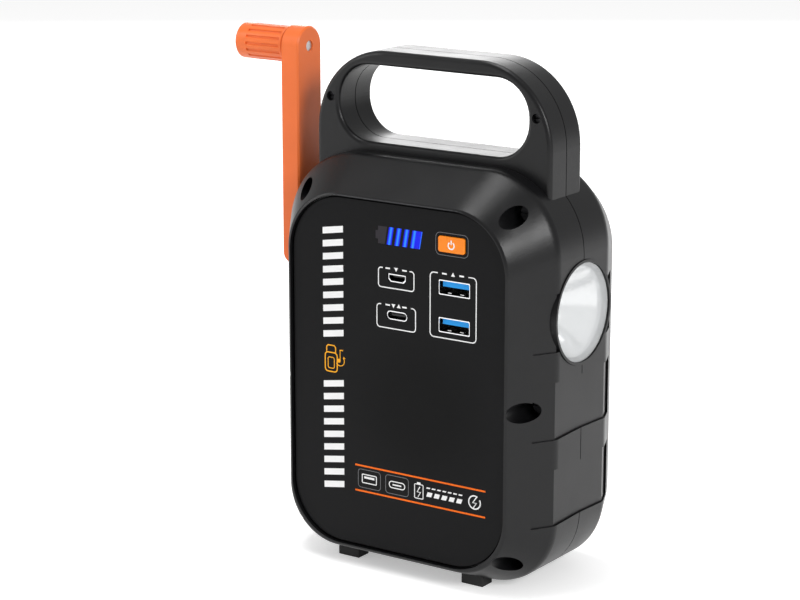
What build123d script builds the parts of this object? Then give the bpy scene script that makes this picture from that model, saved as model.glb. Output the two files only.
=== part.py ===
from build123d import *
import os
from math import acos, cos, pi, radians, tan

# Hand crank charger with a carrying handle, a side torch and a rear lantern. Sizes in millimetres.
# X runs to the torch side, Y to the rear and Z up. The origin is under the middle of the case, on the
# plane y = 0 where the front and rear shells meet. The crank turns on the -X side.

# Case
CASE_HALF = 58.0
CASE_TOP = 150.8
BAND = 17.0
TOP_CORNER = 30.0
BOTTOM_CORNER = 26.0
WALL = 2.2
BEVEL_THICKEN = 1.2
BAND_ROUND = 5.0
RIM_ROUND = 1.3
GROOVE_WIDTH = 0.4
GROOVE_DEPTH = 0.5
FIT_GAP = 0.1
SNUG = 0.02
MOVE_GAP = 0.3

# Front bevel: depth of the rim, and how far the rim is drawn in from the band
FRONT_DEPTH = 33.25
FRONT_SIDE = 11.0
FRONT_TOP = 12.2
FRONT_BOTTOM = 6.4
FRONT_TOP_CORNER = 22.0
FRONT_BOTTOM_CORNER = 21.0

# Rear bevel
REAR_DEPTH = 30.75
REAR_SIDE = 6.0
REAR_TOP = 6.8
REAR_BOTTOM = 3.5
REAR_TOP_CORNER = 27.0
REAR_BOTTOM_CORNER = 24.5

# Handle
HANDLE_HALF = 50.2
HANDLE_TOP = 187.6
HANDLE_ROOT = 122.0
HANDLE_CORNER = 30.0
HANDLE_DEPTH = 10.6
HANDLE_EDGE = 1.6
GRIP_HALF = 40.5
GRIP_LOW = 154.0
GRIP_HIGH = 182.1
GRIP_CORNER = 13.5
HANDLE_WALL = 1.9

# Recessed side panels
PANEL_MIDDLES = (99.5, 67.6, 35.7)
PANEL_REACH = 24.8
PANEL_SEAM_HALF = 10.0
PANEL_END_HALF = 10.75
PANEL_DEPTH = 0.8

# Case screws, in deep counterbores, and handle screws
CASE_SCREWS = ((44.5, 137.0), (50.6, 68.4), (44.7, 11.4))
BOSS_R = 5.6
BOSS_REAR = 14.0
COUNTERBORE_R = 3.7
SCREW_SEAT = 14.0
SCREW_HEAD_R = 2.9
SCREW_HEAD = 2.2
SCREW_R = 1.5
SCREW_END = 9.0
SLOT_WIDTH = 0.8
SLOT_DEPTH = 0.8
HANDLE_SCREW_X = 44.0
HANDLE_SCREW_Z = 169.3
HANDLE_HOLE_R = 1.75
HANDLE_SCREW_SEAT = 7.5
HANDLE_SCREW_HEAD = 1.2
HANDLE_SCREW_R = 0.9
HANDLE_SCREW_END = 6.0
HANDLE_BOSS_R = 3.4

# Feet
FOOT_X = 27.4
FOOT_Y = 20.5
FOOT_WIDTH = 9.0
FOOT_LENGTH = 6.4
FOOT_DROP = 1.2
FOOT_SEAT = 0.9

# Label plate on the front
LABEL_SINK = 1.25
LABEL_FACE = FRONT_DEPTH - LABEL_SINK
LABEL_THICK = 1.5
LABEL_HALF = 45.8
LABEL_LOW = 7.8
LABEL_HIGH = 137.6
LABEL_CORNER = 21.5
LABEL_GAP = 0.45
FRONT_WALL = 2.2

# Small screws and their posts
POST_R = 2.6
SMALL_HEAD_R = 2.1
SMALL_HEAD = 1.4
SMALL_R = 1.0
SMALL_BITE = 5.5

# Main circuit board and the sockets that stand on it
BOARD_SINK = 13.5
BOARD_FRONT = LABEL_FACE - BOARD_SINK
BOARD_THICK = 1.6
BOARD_X = (-24.0, 38.5)
BOARD_Z = (84.0, 131.5)
BOARD_POST_INSET = 4.0
SOCKET_SINK = 0.4
SOCKET_FACE = LABEL_FACE - SOCKET_SINK
SOCKET_METAL = 0.35
SOCKET_BASE = 2.5
SOCKET_CLEAR = 0.15
SOCKET_CORNER = 0.5
USB_A_X = 24.3
USB_A_UPPER_Z = 110.1
USB_A_LOWER_Z = 96.5
USB_A_WIDTH = 13.2
USB_A_HEIGHT = 5.4
USB_A_TONGUE = (11.0, 1.9)
USB_A_TONGUE_LIFT = 1.05
SMALL_SOCKET_X = 0.0
MICRO_Z = 110.6
MICRO_WIDTH = 7.6
MICRO_HEIGHT = 2.9
MICRO_TONGUE = (4.4, 0.6)
USB_C_Z = 96.9
USB_C_WIDTH = 8.9
USB_C_HEIGHT = 3.2
USB_C_TONGUE = (6.4, 0.7)
TONGUE_SINK = 1.2
TONGUE_FRONT = SOCKET_FACE - TONGUE_SINK

# Power button
BUTTON_X = 23.45
BUTTON_Z = 125.85
BUTTON_WIDTH = 11.1
BUTTON_HEIGHT = 5.7
BUTTON_CORNER = 0.9
BUTTON_PROUD = 0.5
BUTTON_GAP = 0.25
BUTTON_TRAVEL = 0.6
BUTTON_FLANGE = 1.2
BUTTON_LIP = 1.5
STEM_R = 1.5
STEM_SPACE = 5.9
STEM_END = BOARD_FRONT + STEM_SPACE
SWITCH_SIZE = 6.0
SWITCH_BODY = 3.0
PLUNGER_R = 1.7
PLUNGER_GAP = 0.2

# Charge gauge: slanted light bars and a battery tip
GAUGE_LOW = 122.6
GAUGE_HIGH = 129.0
GAUGE_LEAN = 1.1
GAUGE_BARS = ((-4.3, 2.1), (-0.95, 2.1), (2.4, 2.1), (5.75, 4.2))
GAUGE_BODY = (-8.0, 2.9)
GAUGE_NUB = (-9.1, 1.1, 3.0)
GAUGE_SINK = 0.05
GUIDE_MARGIN = 0.9
GUIDE_CHANNEL = 2.6
GAUGE_LED = (1.6, 0.8, 0.8)

# Torch on the +X side
TORCH_Z = 100.0
RING_R = 19.0
RING_BORE = 18.0
RING_FACE = 58.4
RING_FLANGE_R = 21.0
RING_FLANGE = 1.5
LENS_R = 17.9
LENS_EDGE = 57.6
LENS_DOME = 1.0
LENS_THICK = 1.7
REFLECTOR_R = 16.4
REFLECTOR_NECK = 4.6
REFLECTOR_FLANGE = 1.3
REFLECTOR_WALL = 1.2
REFLECTOR_BACK = 38.0
TORCH_BOARD_R = 13.0
TORCH_BOARD = 1.6
TORCH_LED = (5.0, 1.2)
TORCH_LED_DOME = 1.9

# Lantern on the rear
BEZEL_SINK = 2.55
BEZEL_THICK = 2.0
REAR_WALL = 2.2
BEZEL_FACE = REAR_DEPTH - BEZEL_SINK
REAR_WALL_OUT = BEZEL_FACE - BEZEL_THICK
REAR_WALL_IN = REAR_WALL_OUT - REAR_WALL
BEZEL_HALF = 48.9
BEZEL_LOW = 6.0
BEZEL_HIGH = 140.5
BEZEL_CORNER = 24.0
SLOPE_EDGE = 0.6
LIGHT_HALF = 45.0
LIGHT_LOW = 9.5
LIGHT_HIGH = 124.5
LIGHT_CORNER = 22.0
LIGHT_PROUD = 0.25
LIGHT_LIP = 0.8
TRAY_DEPTH = 7.5
TRAY_FLOOR = REAR_WALL_IN - TRAY_DEPTH
TRAY_WALL = 1.5
TRAY_FLANGE = 2.5
TRAY_FLANGE_THICK = 1.6
LIGHT_BOARD = 1.2
LED_COLUMNS = 4
LED_ROWS = 6
LED_PITCH_X = 20.0
LED_PITCH_Z = 17.5
LED_SIZE = (3.0, 0.9, 3.0)

# Rear buttons and indicator
KEYS_Z = 132.8
KEY_R = 3.875
KEY_REACH = 17.3
KEY_INNER_R = 4.7
KEY_PROUD = 0.3
KEY_GAP = 0.2
KEY_FLANGE = 1.35
KEY_LIP = 1.0
KEY_SWITCH_X = 10.8
KEY_SWITCH = 4.5
KEY_SWITCH_BODY = 2.0
KEY_PLUNGER_R = 1.0
INDICATOR_R = 3.6
INDICATOR_LED = 1.2
KEY_BOARD = 1.6
KEY_BOARD_HALF = 27.0
KEY_BOARD_SINK = 5.0
KEY_BOARD_FACE = REAR_WALL_IN - KEY_BOARD_SINK
KEY_BOARD_HEIGHT = 10.8
KEY_POST_X = 23.5

# Crank
CRANK_Z = 110.0
HUB_R = 13.8
HUB_FACE = 61.0
HUB_BACK = 58.4
TONGUE_HALF = 5.0
TONGUE_REACH = 66.6
TONGUE_ROUND = 3.3
SHOULDER_REACH = 63.2
SHOULDER_RISE = 5.2
PIN_X = 65.3
PIN_DROP = 3.0
PIN_R = 1.25
PIN_RUN = 0.07
ARM_HALF = 7.4
ARM_DEPTH = 8.0
ARM_WALL = 2.1
ARM_WEB = 2.2
ARM_LENGTH = 78.0
ARM_EDGE = 0.6
WEB_START = 9.6
CHANNEL_END = 9.5
KNOB_R = 6.7
KNOB_LENGTH = 21.7
KNOB_FLUTES = 16
FLUTE_R = 0.55
FLUTE_START = 1.2
FLUTE_LENGTH = 15.5
KNOB_CUP_R = 4.6
KNOB_CUP = 4.3
CAP_THICK = 1.4
CAP_SINK = 0.3
AXLE_R = 2.0
AXLE_RUN = 0.06
AXLE_HEAD_R = 3.6
AXLE_HEAD = 1.3

# Knob pocket in the -X side
POCKET_HALF = 8.1
POCKET_LOW = 14.4
POCKET_HIGH = 37.6
POCKET_WALL = 0.9
POCKET_FLOOR = 35.5
POCKET_FLOOR_THICK = 1.2
POCKET_FLANGE = 1.5
RAMP_START = 55.5
RAMP_END = 51.0
RAMP_RISE = 3.2

# Crank shaft and gear train
SHAFT_R = 3.0
SHAFT_RUN = 0.06
SHAFT_OUT = 60.9
SHAFT_IN = 38.0
BUSH_R = 5.0
BUSH_FLANGE_R = 7.0
BUSH_FLANGE = 1.5
CLIP_R = 5.0
CLIP_THICK = 0.8
CLIP_BITE = 0.5
PLATE = 1.5
OUTER_PLATE = 52.0
INNER_PLATE = 41.5
PLATE_HALF = 15.8
PLATE_TOP = 130.5
OUTER_PLATE_LOW = 78.5
INNER_PLATE_LOW = 61.0
FLANGE_SINK = 4.0
FLANGE_REACH = 9.5
FLANGE_SCREW_X = 36.0
FLANGE_SCREWS = (70.0, 120.0)
SPACERS = ((13.2, 82.0), (8.0, 127.0))
SPACER_R = 2.2
SPIGOT_R = 1.4
GEAR_MODULE = 0.7
PRESSURE = radians(25)
BACKLASH = 0.14
CRANK_TEETH = 40
PINION_TEETH = 12
WHEEL_TEETH = 36
ADDENDUM = 0.9
DEDENDUM = 1.25
CRANK_GEAR = (50.0, 46.5)
CRANK_SLEEVE_R = 4.3
IDLER_PINION = (50.3, 46.0)
IDLER_WHEEL = (44.8, 42.4)
IDLER_SLEEVE_R = 3.0
IDLER_AXLE_R = 1.5
GENERATOR_PINION = (45.0, 42.2)

# Generator
CAN_R = 12.0
CAN_WALL = 1.4
CAN_LENGTH = 15.5
CAN_FACE = 1.0
CAN_BOSS_R = 4.0
ROTOR_R = 9.8
ROTOR_GAP = 0.5
ROTOR_SHAFT_R = 1.2
ROTOR_RUN = 0.05

# Battery
CELL_R = 9.2
CELL_LENGTH = 65.0
CELL_COUNT = 3
CELL_PITCH = 19.4
CELL_X = -14.5
CELL_Y = -6.0
CELL_GAP = 0.2
HOLDER_WALL = 0.8
HOLDER_FLOOR = 2.0
HOLDER_HEIGHT = 48.0
HOLDER_CHAMFER = 3.0
CELL_EDGE = 0.6
CELL_CONTACT = 1.0

# Places worked out from the sizes above
LABEL_BACK = LABEL_FACE - LABEL_THICK
FRONT_INNER = LABEL_BACK - FRONT_WALL
FLANGE_DEPTH = FRONT_INNER - FLANGE_SINK
BOARD_BACK = BOARD_FRONT - BOARD_THICK
SIDE_INNER = CASE_HALF - WALL
PIN_Z = CRANK_Z - PIN_DROP
KNOB_Z = PIN_Z + ARM_LENGTH
ARM_BACK = PIN_X - ARM_DEPTH / 2
ARM_FRONT = PIN_X + ARM_DEPTH / 2
IDLER_Z = CRANK_Z - GEAR_MODULE * (CRANK_TEETH + PINION_TEETH) / 2
GENERATOR_Z = IDLER_Z - GEAR_MODULE * (WHEEL_TEETH + PINION_TEETH) / 2
INNER_FACE = INNER_PLATE - PLATE


# ---- Helpers ----

def block(x, y, z):
    """Box between three pairs of limits, each low then high."""
    sizes = [high - low for low, high in (x, y, z)]
    middle = [(high + low) / 2 for low, high in (x, y, z)]
    return Pos(*middle) * Box(*sizes)


def rod(axis, radius, span, at):
    """Round bar along an axis over the span. at gives its two other coordinates, in order."""
    start, end = sorted(span)
    plane = {
        "X": Plane((start, at[0], at[1]), x_dir=(0, 1, 0), z_dir=(1, 0, 0)),
        "Y": Plane((at[0], start, at[1]), x_dir=(1, 0, 0), z_dir=(0, 1, 0)),
        "Z": Plane((at[0], at[1], start)),
    }[axis]
    return extrude(plane * Circle(radius), end - start)


def tube(axis, outer, inner, span, at):
    """Round tube along an axis."""
    return rod(axis, outer, span, at) - rod(axis, inner, span, at)


def front_plane(y):
    """Plane at depth y that faces the front, with X to the right and Z up."""
    return Plane((0, y, 0), x_dir=(1, 0, 0), z_dir=(0, -1, 0))


def side_plane(x):
    """Plane at x that faces +X, with Y to the right and Z up."""
    return Plane((x, 0, 0), x_dir=(0, 1, 0), z_dir=(1, 0, 0))


def slab(face, y_front, y_back):
    """Front-view outline given as a solid between two depths."""
    return extrude(front_plane(y_back) * face, y_back - y_front)


def side_slab(face, x_low, x_high):
    """Side-view outline given as a solid between two widths."""
    return extrude(side_plane(x_low) * face, x_high - x_low)


def outline(half_width, low, high, low_corner, high_corner):
    """Upright outline, even about x = 0, with its own lower and upper corner radii."""
    corners = [(-half_width, low), (half_width, low), (half_width, high), (-half_width, high)]
    face = make_face(Polyline(*corners, close=True))
    face = fillet(face.vertices().sort_by(Axis.Y)[:2], low_corner)
    return fillet(face.vertices().sort_by(Axis.Y)[-2:], high_corner)


def polygon(points):
    """Flat face with straight sides."""
    return make_face(Polyline(*points, close=True))


def rounded(x, z, width, height, corner):
    """Rounded rectangle about a point of the front view."""
    return Pos(x, z) * RectangleRounded(width, height, corner)


def stadium(half_width, low, high):
    """Upright slot outline with round ends."""
    return outline(half_width, low, high, half_width - SNUG, half_width - SNUG)


def turned(points, at_z):
    """Solid turned about a line along X at the height at_z. points are (x, radius) pairs."""
    return Pos(0, 0, at_z) * revolve(polygon(points), Axis.X)


def edges_at(form, y):
    """Edges that lie in the plane at depth y."""
    return form.edges().filter_by_position(Axis.Y, y - 0.01, y + 0.01)


def group(solids):
    """Several separate solids of one node."""
    return Compound(children=[solid for solid in solids])


# ---- Outer and inner forms ----

def case_form(inset, front, rear):
    """Case drawn in from its skin, reaching from the front to the rear depth."""
    thick = inset * BEVEL_THICKEN
    widest = outline(CASE_HALF - inset, inset, CASE_TOP - inset, BOTTOM_CORNER - inset, TOP_CORNER - inset)
    form = slab(widest, -BAND, BAND)
    ends = (
        (-1, front, FRONT_DEPTH, FRONT_SIDE, FRONT_TOP, FRONT_BOTTOM, FRONT_TOP_CORNER, FRONT_BOTTOM_CORNER),
        (1, rear, REAR_DEPTH, REAR_SIDE, REAR_TOP, REAR_BOTTOM, REAR_TOP_CORNER, REAR_BOTTOM_CORNER),
    )
    for sign, depth, full, side, top, bottom, top_corner, bottom_corner in ends:
        share = (depth - BAND) / (full - BAND)
        narrow = outline(
            CASE_HALF - thick - side * share,
            thick + bottom * share,
            CASE_TOP - thick - top * share,
            BOTTOM_CORNER - inset + (bottom_corner - BOTTOM_CORNER) * share,
            TOP_CORNER - inset + (top_corner - TOP_CORNER) * share,
        )
        near, far = front_plane(sign * BAND) * widest, front_plane(sign * depth) * narrow
        form += loft([near.face(), far.face()], ruled=True)
    return form


def inner_form():
    """Inside of the case walls."""
    return case_form(WALL, FRONT_INNER, REAR_WALL_IN)


def handle_form(inset):
    """Carrying handle drawn in from its skin, with its legs running down into the case."""
    half, corner = HANDLE_HALF - inset, HANDLE_CORNER - inset
    top = HANDLE_TOP - inset
    face = polygon([(-half, HANDLE_ROOT), (half, HANDLE_ROOT), (half, top), (-half, top)])
    face = fillet(face.vertices().sort_by(Axis.Y)[-2:], corner)
    grip_corner = GRIP_CORNER + inset
    grip = outline(GRIP_HALF + inset, GRIP_LOW - inset, GRIP_HIGH + inset, grip_corner, grip_corner)
    depth = HANDLE_DEPTH - inset
    return slab(face, -depth, depth), slab(grip, -depth, depth)


def soft_handle():
    """Outer form of the handle with its long edges rounded."""
    body, grip = handle_form(0)
    for y in (-HANDLE_DEPTH, HANDLE_DEPTH):
        above = edges_at(body, y).filter_by(lambda edge: edge.center().Z > HANDLE_ROOT + 1)
        body = fillet(above, HANDLE_EDGE)
    body -= grip
    for y in (-HANDLE_DEPTH, HANDLE_DEPTH):
        body = fillet(edges_at(body, y).filter_by(by_grip), HANDLE_EDGE)
    return body


def by_grip(edge):
    """True for an edge around the grip opening."""
    middle = edge.center()
    return abs(middle.X) < GRIP_HALF + 1 and GRIP_LOW - 1 < middle.Z < GRIP_HIGH + 1


def skin():
    """Whole outer form of the case and handle."""
    case = case_form(0, FRONT_DEPTH, REAR_DEPTH)
    for y in (-BAND, BAND):
        case = fillet(edges_at(case, y), BAND_ROUND)
    for y in (-FRONT_DEPTH, REAR_DEPTH):
        case = fillet(edges_at(case, y), RIM_ROUND)
    return case + soft_handle()


def core(inset):
    """Case and handle drawn in from the skin, at full depth."""
    body, grip = handle_form(inset)
    return case_form(inset, FRONT_DEPTH, REAR_DEPTH) + (body - grip)


def cavity():
    """Hollow of the case and handle, with the screw bosses and posts left standing in it."""
    body, grip = handle_form(HANDLE_WALL)
    hollow = inner_form() + (body - grip)
    for x, z in mirrored(CASE_SCREWS):
        hollow -= rod("Y", BOSS_R, (-FRONT_DEPTH, BOSS_REAR), (x, z))
    for x in (-HANDLE_SCREW_X, HANDLE_SCREW_X):
        hollow -= rod("Y", HANDLE_BOSS_R, (-HANDLE_DEPTH, HANDLE_DEPTH), (x, HANDLE_SCREW_Z))
    for x, z in board_posts():
        hollow -= rod("Y", POST_R, (-FRONT_DEPTH, -BOARD_FRONT), (x, z))
    for z in FLANGE_SCREWS:
        hollow -= rod("Y", POST_R, (-FRONT_DEPTH, -FLANGE_DEPTH), (-FLANGE_SCREW_X, z))
    for x in (-KEY_POST_X, KEY_POST_X):
        hollow -= rod("Y", POST_R, (KEY_BOARD_FACE, REAR_WALL_OUT), (x, KEYS_Z))
    return hollow


def mirrored(places):
    """Each place at both +X and -X."""
    return [(side * x, z) for x, z in places for side in (1, -1)]


def board_posts():
    """Places of the four posts that carry the main board."""
    xs = (BOARD_X[0] + BOARD_POST_INSET, BOARD_X[1] - BOARD_POST_INSET)
    zs = (BOARD_Z[0] + BOARD_POST_INSET, BOARD_Z[1] - BOARD_POST_INSET)
    return [(x, z) for x in xs for z in zs]


# ---- Cuts in the shells ----

def seam_groove():
    """Narrow groove around the case and handle where the shells meet, left out under the case."""
    reach = CASE_HALF + WALL
    half = GROOVE_WIDTH / 2
    return block((-reach, reach), (-half, half), (WALL, HANDLE_TOP + WALL)) - core(GROOVE_DEPTH)


def panel_recesses():
    """Three shallow panels on each side, following the band and the bevels."""
    bars = []
    for middle in PANEL_MIDDLES:
        end, seam = middle - PANEL_END_HALF, middle - PANEL_SEAM_HALF
        low = [(-PANEL_REACH, end), (0, seam), (PANEL_REACH, end)]
        high = [(y, 2 * middle - z) for y, z in reversed(low)]
        for x in (-CASE_HALF - WALL, CASE_HALF / 2):
            bars.append(side_slab(polygon(low + high), x, x + CASE_HALF / 2 + WALL))
    floor = case_form(PANEL_DEPTH, FRONT_DEPTH, REAR_DEPTH)
    return [bar - floor for bar in bars]


def foot_blocks(grow):
    """Blocks of the four feet, grown on all sides."""
    half_x, half_y = FOOT_WIDTH / 2 + grow, FOOT_LENGTH / 2 + grow
    floor = case_form(FOOT_SEAT, FRONT_DEPTH, REAR_DEPTH)
    places = [(x, y) for x in (-FOOT_X, FOOT_X) for y in (-FOOT_Y, FOOT_Y)]
    limits = (-FOOT_DROP, FRONT_BOTTOM)
    return [block((x - half_x, x + half_x), (y - half_y, y + half_y), limits) - floor for x, y in places]


def socket_outline(width, height, kind, grow):
    """Mouth of a socket about its own centre: flat, chamfered or round ended."""
    if kind == "flat":
        return RectangleRounded(width + 2 * grow, height + 2 * grow, SOCKET_CORNER)
    if kind == "round":
        return RectangleRounded(width + 2 * grow, height + 2 * grow, height / 2 + grow - SNUG)
    half, tall, cut = width / 2 + grow, height / 2 + grow, height / 3
    bottom = [(-half, -tall + cut), (-half + cut, -tall), (half - cut, -tall), (half, -tall + cut)]
    return polygon(bottom + [(half, tall), (-half, tall)])


SOCKETS = {
    "usb_a_port_upper": (USB_A_X, USB_A_UPPER_Z, USB_A_WIDTH, USB_A_HEIGHT, "flat"),
    "usb_a_port_lower": (USB_A_X, USB_A_LOWER_Z, USB_A_WIDTH, USB_A_HEIGHT, "flat"),
    "micro_usb_port": (SMALL_SOCKET_X, MICRO_Z, MICRO_WIDTH, MICRO_HEIGHT, "chamfered"),
    "usb_c_port": (SMALL_SOCKET_X, USB_C_Z, USB_C_WIDTH, USB_C_HEIGHT, "round"),
}


def gauge_outlines():
    """Outlines of the light bars of the gauge."""
    shapes = []
    for x, width in GAUGE_BARS:
        low = [(x, GAUGE_LOW), (x + width, GAUGE_LOW)]
        high = [(x + width + GAUGE_LEAN, GAUGE_HIGH), (x + GAUGE_LEAN, GAUGE_HIGH)]
        shapes.append(polygon(low + high))
    return shapes


def gauge_tip_outline():
    """Outline of the battery tip: a slanted body with a small nub on its left."""
    x, width = GAUGE_BODY
    nub_x, nub_width, nub_height = GAUGE_NUB
    middle = (GAUGE_LOW + GAUGE_HIGH) / 2
    right = x + width
    body = polygon([(x, GAUGE_LOW), (right, GAUGE_LOW), (right + GAUGE_LEAN, GAUGE_HIGH), (x, GAUGE_HIGH)])
    return body + Pos(nub_x + nub_width / 2, middle) * Rectangle(nub_width + SNUG, nub_height)


def front_openings(y_front, y_back, clear):
    """Ways through the label and front wall for sockets, button and gauge."""
    cuts = []
    for x, z, width, height, kind in SOCKETS.values():
        cuts.append(slab(Pos(x, z) * socket_outline(width, height, kind, clear), y_front, y_back))
    wide, tall = BUTTON_WIDTH + 2 * BUTTON_GAP, BUTTON_HEIGHT + 2 * BUTTON_GAP
    key = rounded(BUTTON_X, BUTTON_Z, wide, tall, BUTTON_CORNER)
    cuts.append(slab(key, y_front, y_back))
    for face in gauge_outlines() + [gauge_tip_outline()]:
        cuts.append(slab(face, y_front, y_back))
    return cuts


def key_outline(side, grow, inner_radius):
    """Rear button outline: round outer end, and an inner end that curves around the indicator."""
    bar = outline(KEY_R + grow, -KEY_REACH - grow, 0, KEY_R + grow - SNUG, KEY_R / 2)
    return Rot(0, 0, side * 90) * bar - Circle(inner_radius)


def key_slots(y_front, y_back, grow):
    """Ways for both rear buttons and the indicator."""
    faces = [Pos(0, KEYS_Z) * key_outline(side, grow, KEY_INNER_R - grow) for side in (1, -1)]
    cuts = [slab(face, y_front, y_back) for face in faces]
    return cuts + [rod("Y", INDICATOR_R + FIT_GAP, (y_front, y_back), (0, KEYS_Z))]


def label_outline(grow):
    """Label plate outline, grown on all sides."""
    corner = LABEL_CORNER + grow
    return outline(LABEL_HALF + grow, LABEL_LOW - grow, LABEL_HIGH + grow, corner, corner)


def light_outline(grow):
    """Lantern window outline, grown on all sides."""
    corner = LIGHT_CORNER + grow
    return outline(LIGHT_HALF + grow, LIGHT_LOW - grow, LIGHT_HIGH + grow, corner, corner)


def bezel_outline(grow):
    """Rear bezel outline, grown on all sides."""
    corner = BEZEL_CORNER + grow
    return outline(BEZEL_HALF + grow, BEZEL_LOW - grow, BEZEL_HIGH + grow, corner, corner)


def rear_slope():
    """Slope that leads from the rear rim down to the bezel."""
    rim = outline(
        CASE_HALF - REAR_SIDE - SLOPE_EDGE,
        REAR_BOTTOM + SLOPE_EDGE,
        CASE_TOP - REAR_TOP - SLOPE_EDGE,
        REAR_BOTTOM_CORNER,
        REAR_TOP_CORNER,
    )
    near, far = front_plane(BEZEL_FACE) * bezel_outline(FIT_GAP), front_plane(REAR_DEPTH) * rim
    return loft([near.face(), far.face()], ruled=True)


def side_holes():
    """Holes in the sides for the torch ring, the crank bush and the knob pocket."""
    beyond = CASE_HALF + WALL
    torch = rod("X", RING_R + FIT_GAP, (SIDE_INNER - WALL, beyond), (0, TORCH_Z))
    bush = rod("X", BUSH_R + SNUG, (-beyond, -SIDE_INNER + WALL), (0, CRANK_Z))
    mouth = stadium(POCKET_HALF + FIT_GAP, POCKET_LOW - FIT_GAP, POCKET_HIGH + FIT_GAP)
    pocket = side_slab(mouth, -beyond, -SIDE_INNER + 2 * WALL)
    return [torch, bush, pocket]


# ---- Shells ----

def shells():
    """Front and rear shells, each with its half of the handle."""
    hull = skin() - cavity() - seam_groove()
    for cut in panel_recesses() + side_holes() + foot_blocks(FIT_GAP):
        hull -= cut
    beyond = HANDLE_TOP + WALL
    reach = 2 * CASE_HALF
    front = hull & block((-reach, reach), (-FRONT_DEPTH - WALL, 0), (-beyond, beyond))
    rear = hull & block((-reach, reach), (0, REAR_DEPTH + WALL), (-beyond, beyond))
    return front_shell(front), rear_shell(rear)


def front_shell(shell):
    """Front half with the label recess, socket ways, counterbores and pilot holes."""
    recess = label_outline(LABEL_GAP)
    shell -= slab(recess, -FRONT_DEPTH - WALL, -LABEL_BACK)
    for cut in front_openings(-FRONT_DEPTH, -FRONT_INNER + WALL / 2, SOCKET_CLEAR):
        shell -= cut
    for x, z in mirrored(CASE_SCREWS):
        shell -= rod("Y", COUNTERBORE_R, (-FRONT_DEPTH - WALL, -SCREW_SEAT), (x, z))
        shell -= rod("Y", SCREW_R + 2 * FIT_GAP, (-SCREW_SEAT, 0), (x, z))
    for x in (-HANDLE_SCREW_X, HANDLE_SCREW_X):
        shell -= rod("Y", HANDLE_HOLE_R, (-HANDLE_DEPTH - WALL, -HANDLE_SCREW_SEAT), (x, HANDLE_SCREW_Z))
        shell -= rod("Y", HANDLE_SCREW_R + FIT_GAP, (-HANDLE_SCREW_SEAT, 0), (x, HANDLE_SCREW_Z))
    for x, z in board_posts():
        shell -= rod("Y", SMALL_R + SNUG, (-BOARD_FRONT - SMALL_BITE, -BOARD_FRONT), (x, z))
    pilot = (-FLANGE_DEPTH - SMALL_BITE + PLATE, -FLANGE_DEPTH)
    for z in FLANGE_SCREWS:
        shell -= rod("Y", SMALL_R + SNUG, pilot, (-FLANGE_SCREW_X, z))
    return shell


def rear_shell(shell):
    """Rear half with the bezel recess, lantern window, button ways and pilot holes."""
    shell -= slab(bezel_outline(FIT_GAP), REAR_WALL_OUT, REAR_DEPTH + WALL)
    shell -= rear_slope()
    shell -= slab(light_outline(LIGHT_LIP + FIT_GAP), REAR_WALL_IN - WALL / 2, REAR_WALL_OUT)
    for cut in key_slots(REAR_WALL_IN - WALL / 2, REAR_WALL_OUT, KEY_GAP):
        shell -= cut
    for x, z in mirrored(CASE_SCREWS):
        shell -= rod("Y", SCREW_R + SNUG, (0, SCREW_END + MOVE_GAP), (x, z))
    for x in (-HANDLE_SCREW_X, HANDLE_SCREW_X):
        shell -= rod("Y", HANDLE_SCREW_R + SNUG, (0, HANDLE_SCREW_END + MOVE_GAP), (x, HANDLE_SCREW_Z))
    pilot = (KEY_BOARD_FACE, KEY_BOARD_FACE + SMALL_BITE - KEY_BOARD)
    for x in (-KEY_POST_X, KEY_POST_X):
        shell -= rod("Y", SMALL_R + SNUG, pilot, (x, KEYS_Z))
    return shell


def screw(axis_span, head_span, radius, head_radius, at):
    """Screw along Y with a slotted round head."""
    x, z = at
    outer = min(head_span)
    half = SLOT_WIDTH / 2
    slot = block((x - head_radius, x + head_radius), (outer, outer + SLOT_DEPTH), (z - half, z + half))
    return rod("Y", radius, axis_span, at) + rod("Y", head_radius, head_span, at) - slot


def case_screws():
    """Six long screws that hold the shells together."""
    seat = -SCREW_SEAT
    spans = (seat, SCREW_END), (seat - SCREW_HEAD, seat)
    return [screw(*spans, SCREW_R, SCREW_HEAD_R, at) for at in mirrored(CASE_SCREWS)]


def handle_screws():
    """Two slim screws through the handle legs."""
    seat, head = -HANDLE_SCREW_SEAT, HANDLE_HOLE_R - FIT_GAP
    places = [(side * HANDLE_SCREW_X, HANDLE_SCREW_Z) for side in (1, -1)]
    spans = (seat, HANDLE_SCREW_END), (seat - HANDLE_SCREW_HEAD, seat)
    return [screw(*spans, HANDLE_SCREW_R, head, at) for at in places]


# ---- Front: label, button, gauge, sockets, board ----

def label_panel():
    """Flat front plate with its windows and a softened front edge."""
    plate = slab(label_outline(0), -LABEL_FACE, -LABEL_BACK)
    plate = chamfer(edges_at(plate, -LABEL_FACE), LABEL_THICK / 4)
    for cut in front_openings(-LABEL_FACE - WALL, -LABEL_BACK + WALL, SOCKET_CLEAR):
        plate -= cut
    return plate


def power_button():
    """Sprung cap with a retaining flange and a stem that reaches the switch."""
    flange_front = -FRONT_INNER + MOVE_GAP
    flange_back = flange_front + BUTTON_FLANGE
    face = -LABEL_FACE - BUTTON_PROUD
    cap = slab(rounded(BUTTON_X, BUTTON_Z, BUTTON_WIDTH, BUTTON_HEIGHT, BUTTON_CORNER), face, flange_front)
    cap = fillet(edges_at(cap, face), BUTTON_PROUD / 2)
    wide, tall = BUTTON_WIDTH + 2 * BUTTON_LIP, BUTTON_HEIGHT + 2 * BUTTON_LIP
    cap += slab(rounded(BUTTON_X, BUTTON_Z, wide, tall, BUTTON_CORNER), flange_front, flange_back)
    return cap + rod("Y", STEM_R, (flange_back, -STEM_END), (BUTTON_X, BUTTON_Z))


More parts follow.
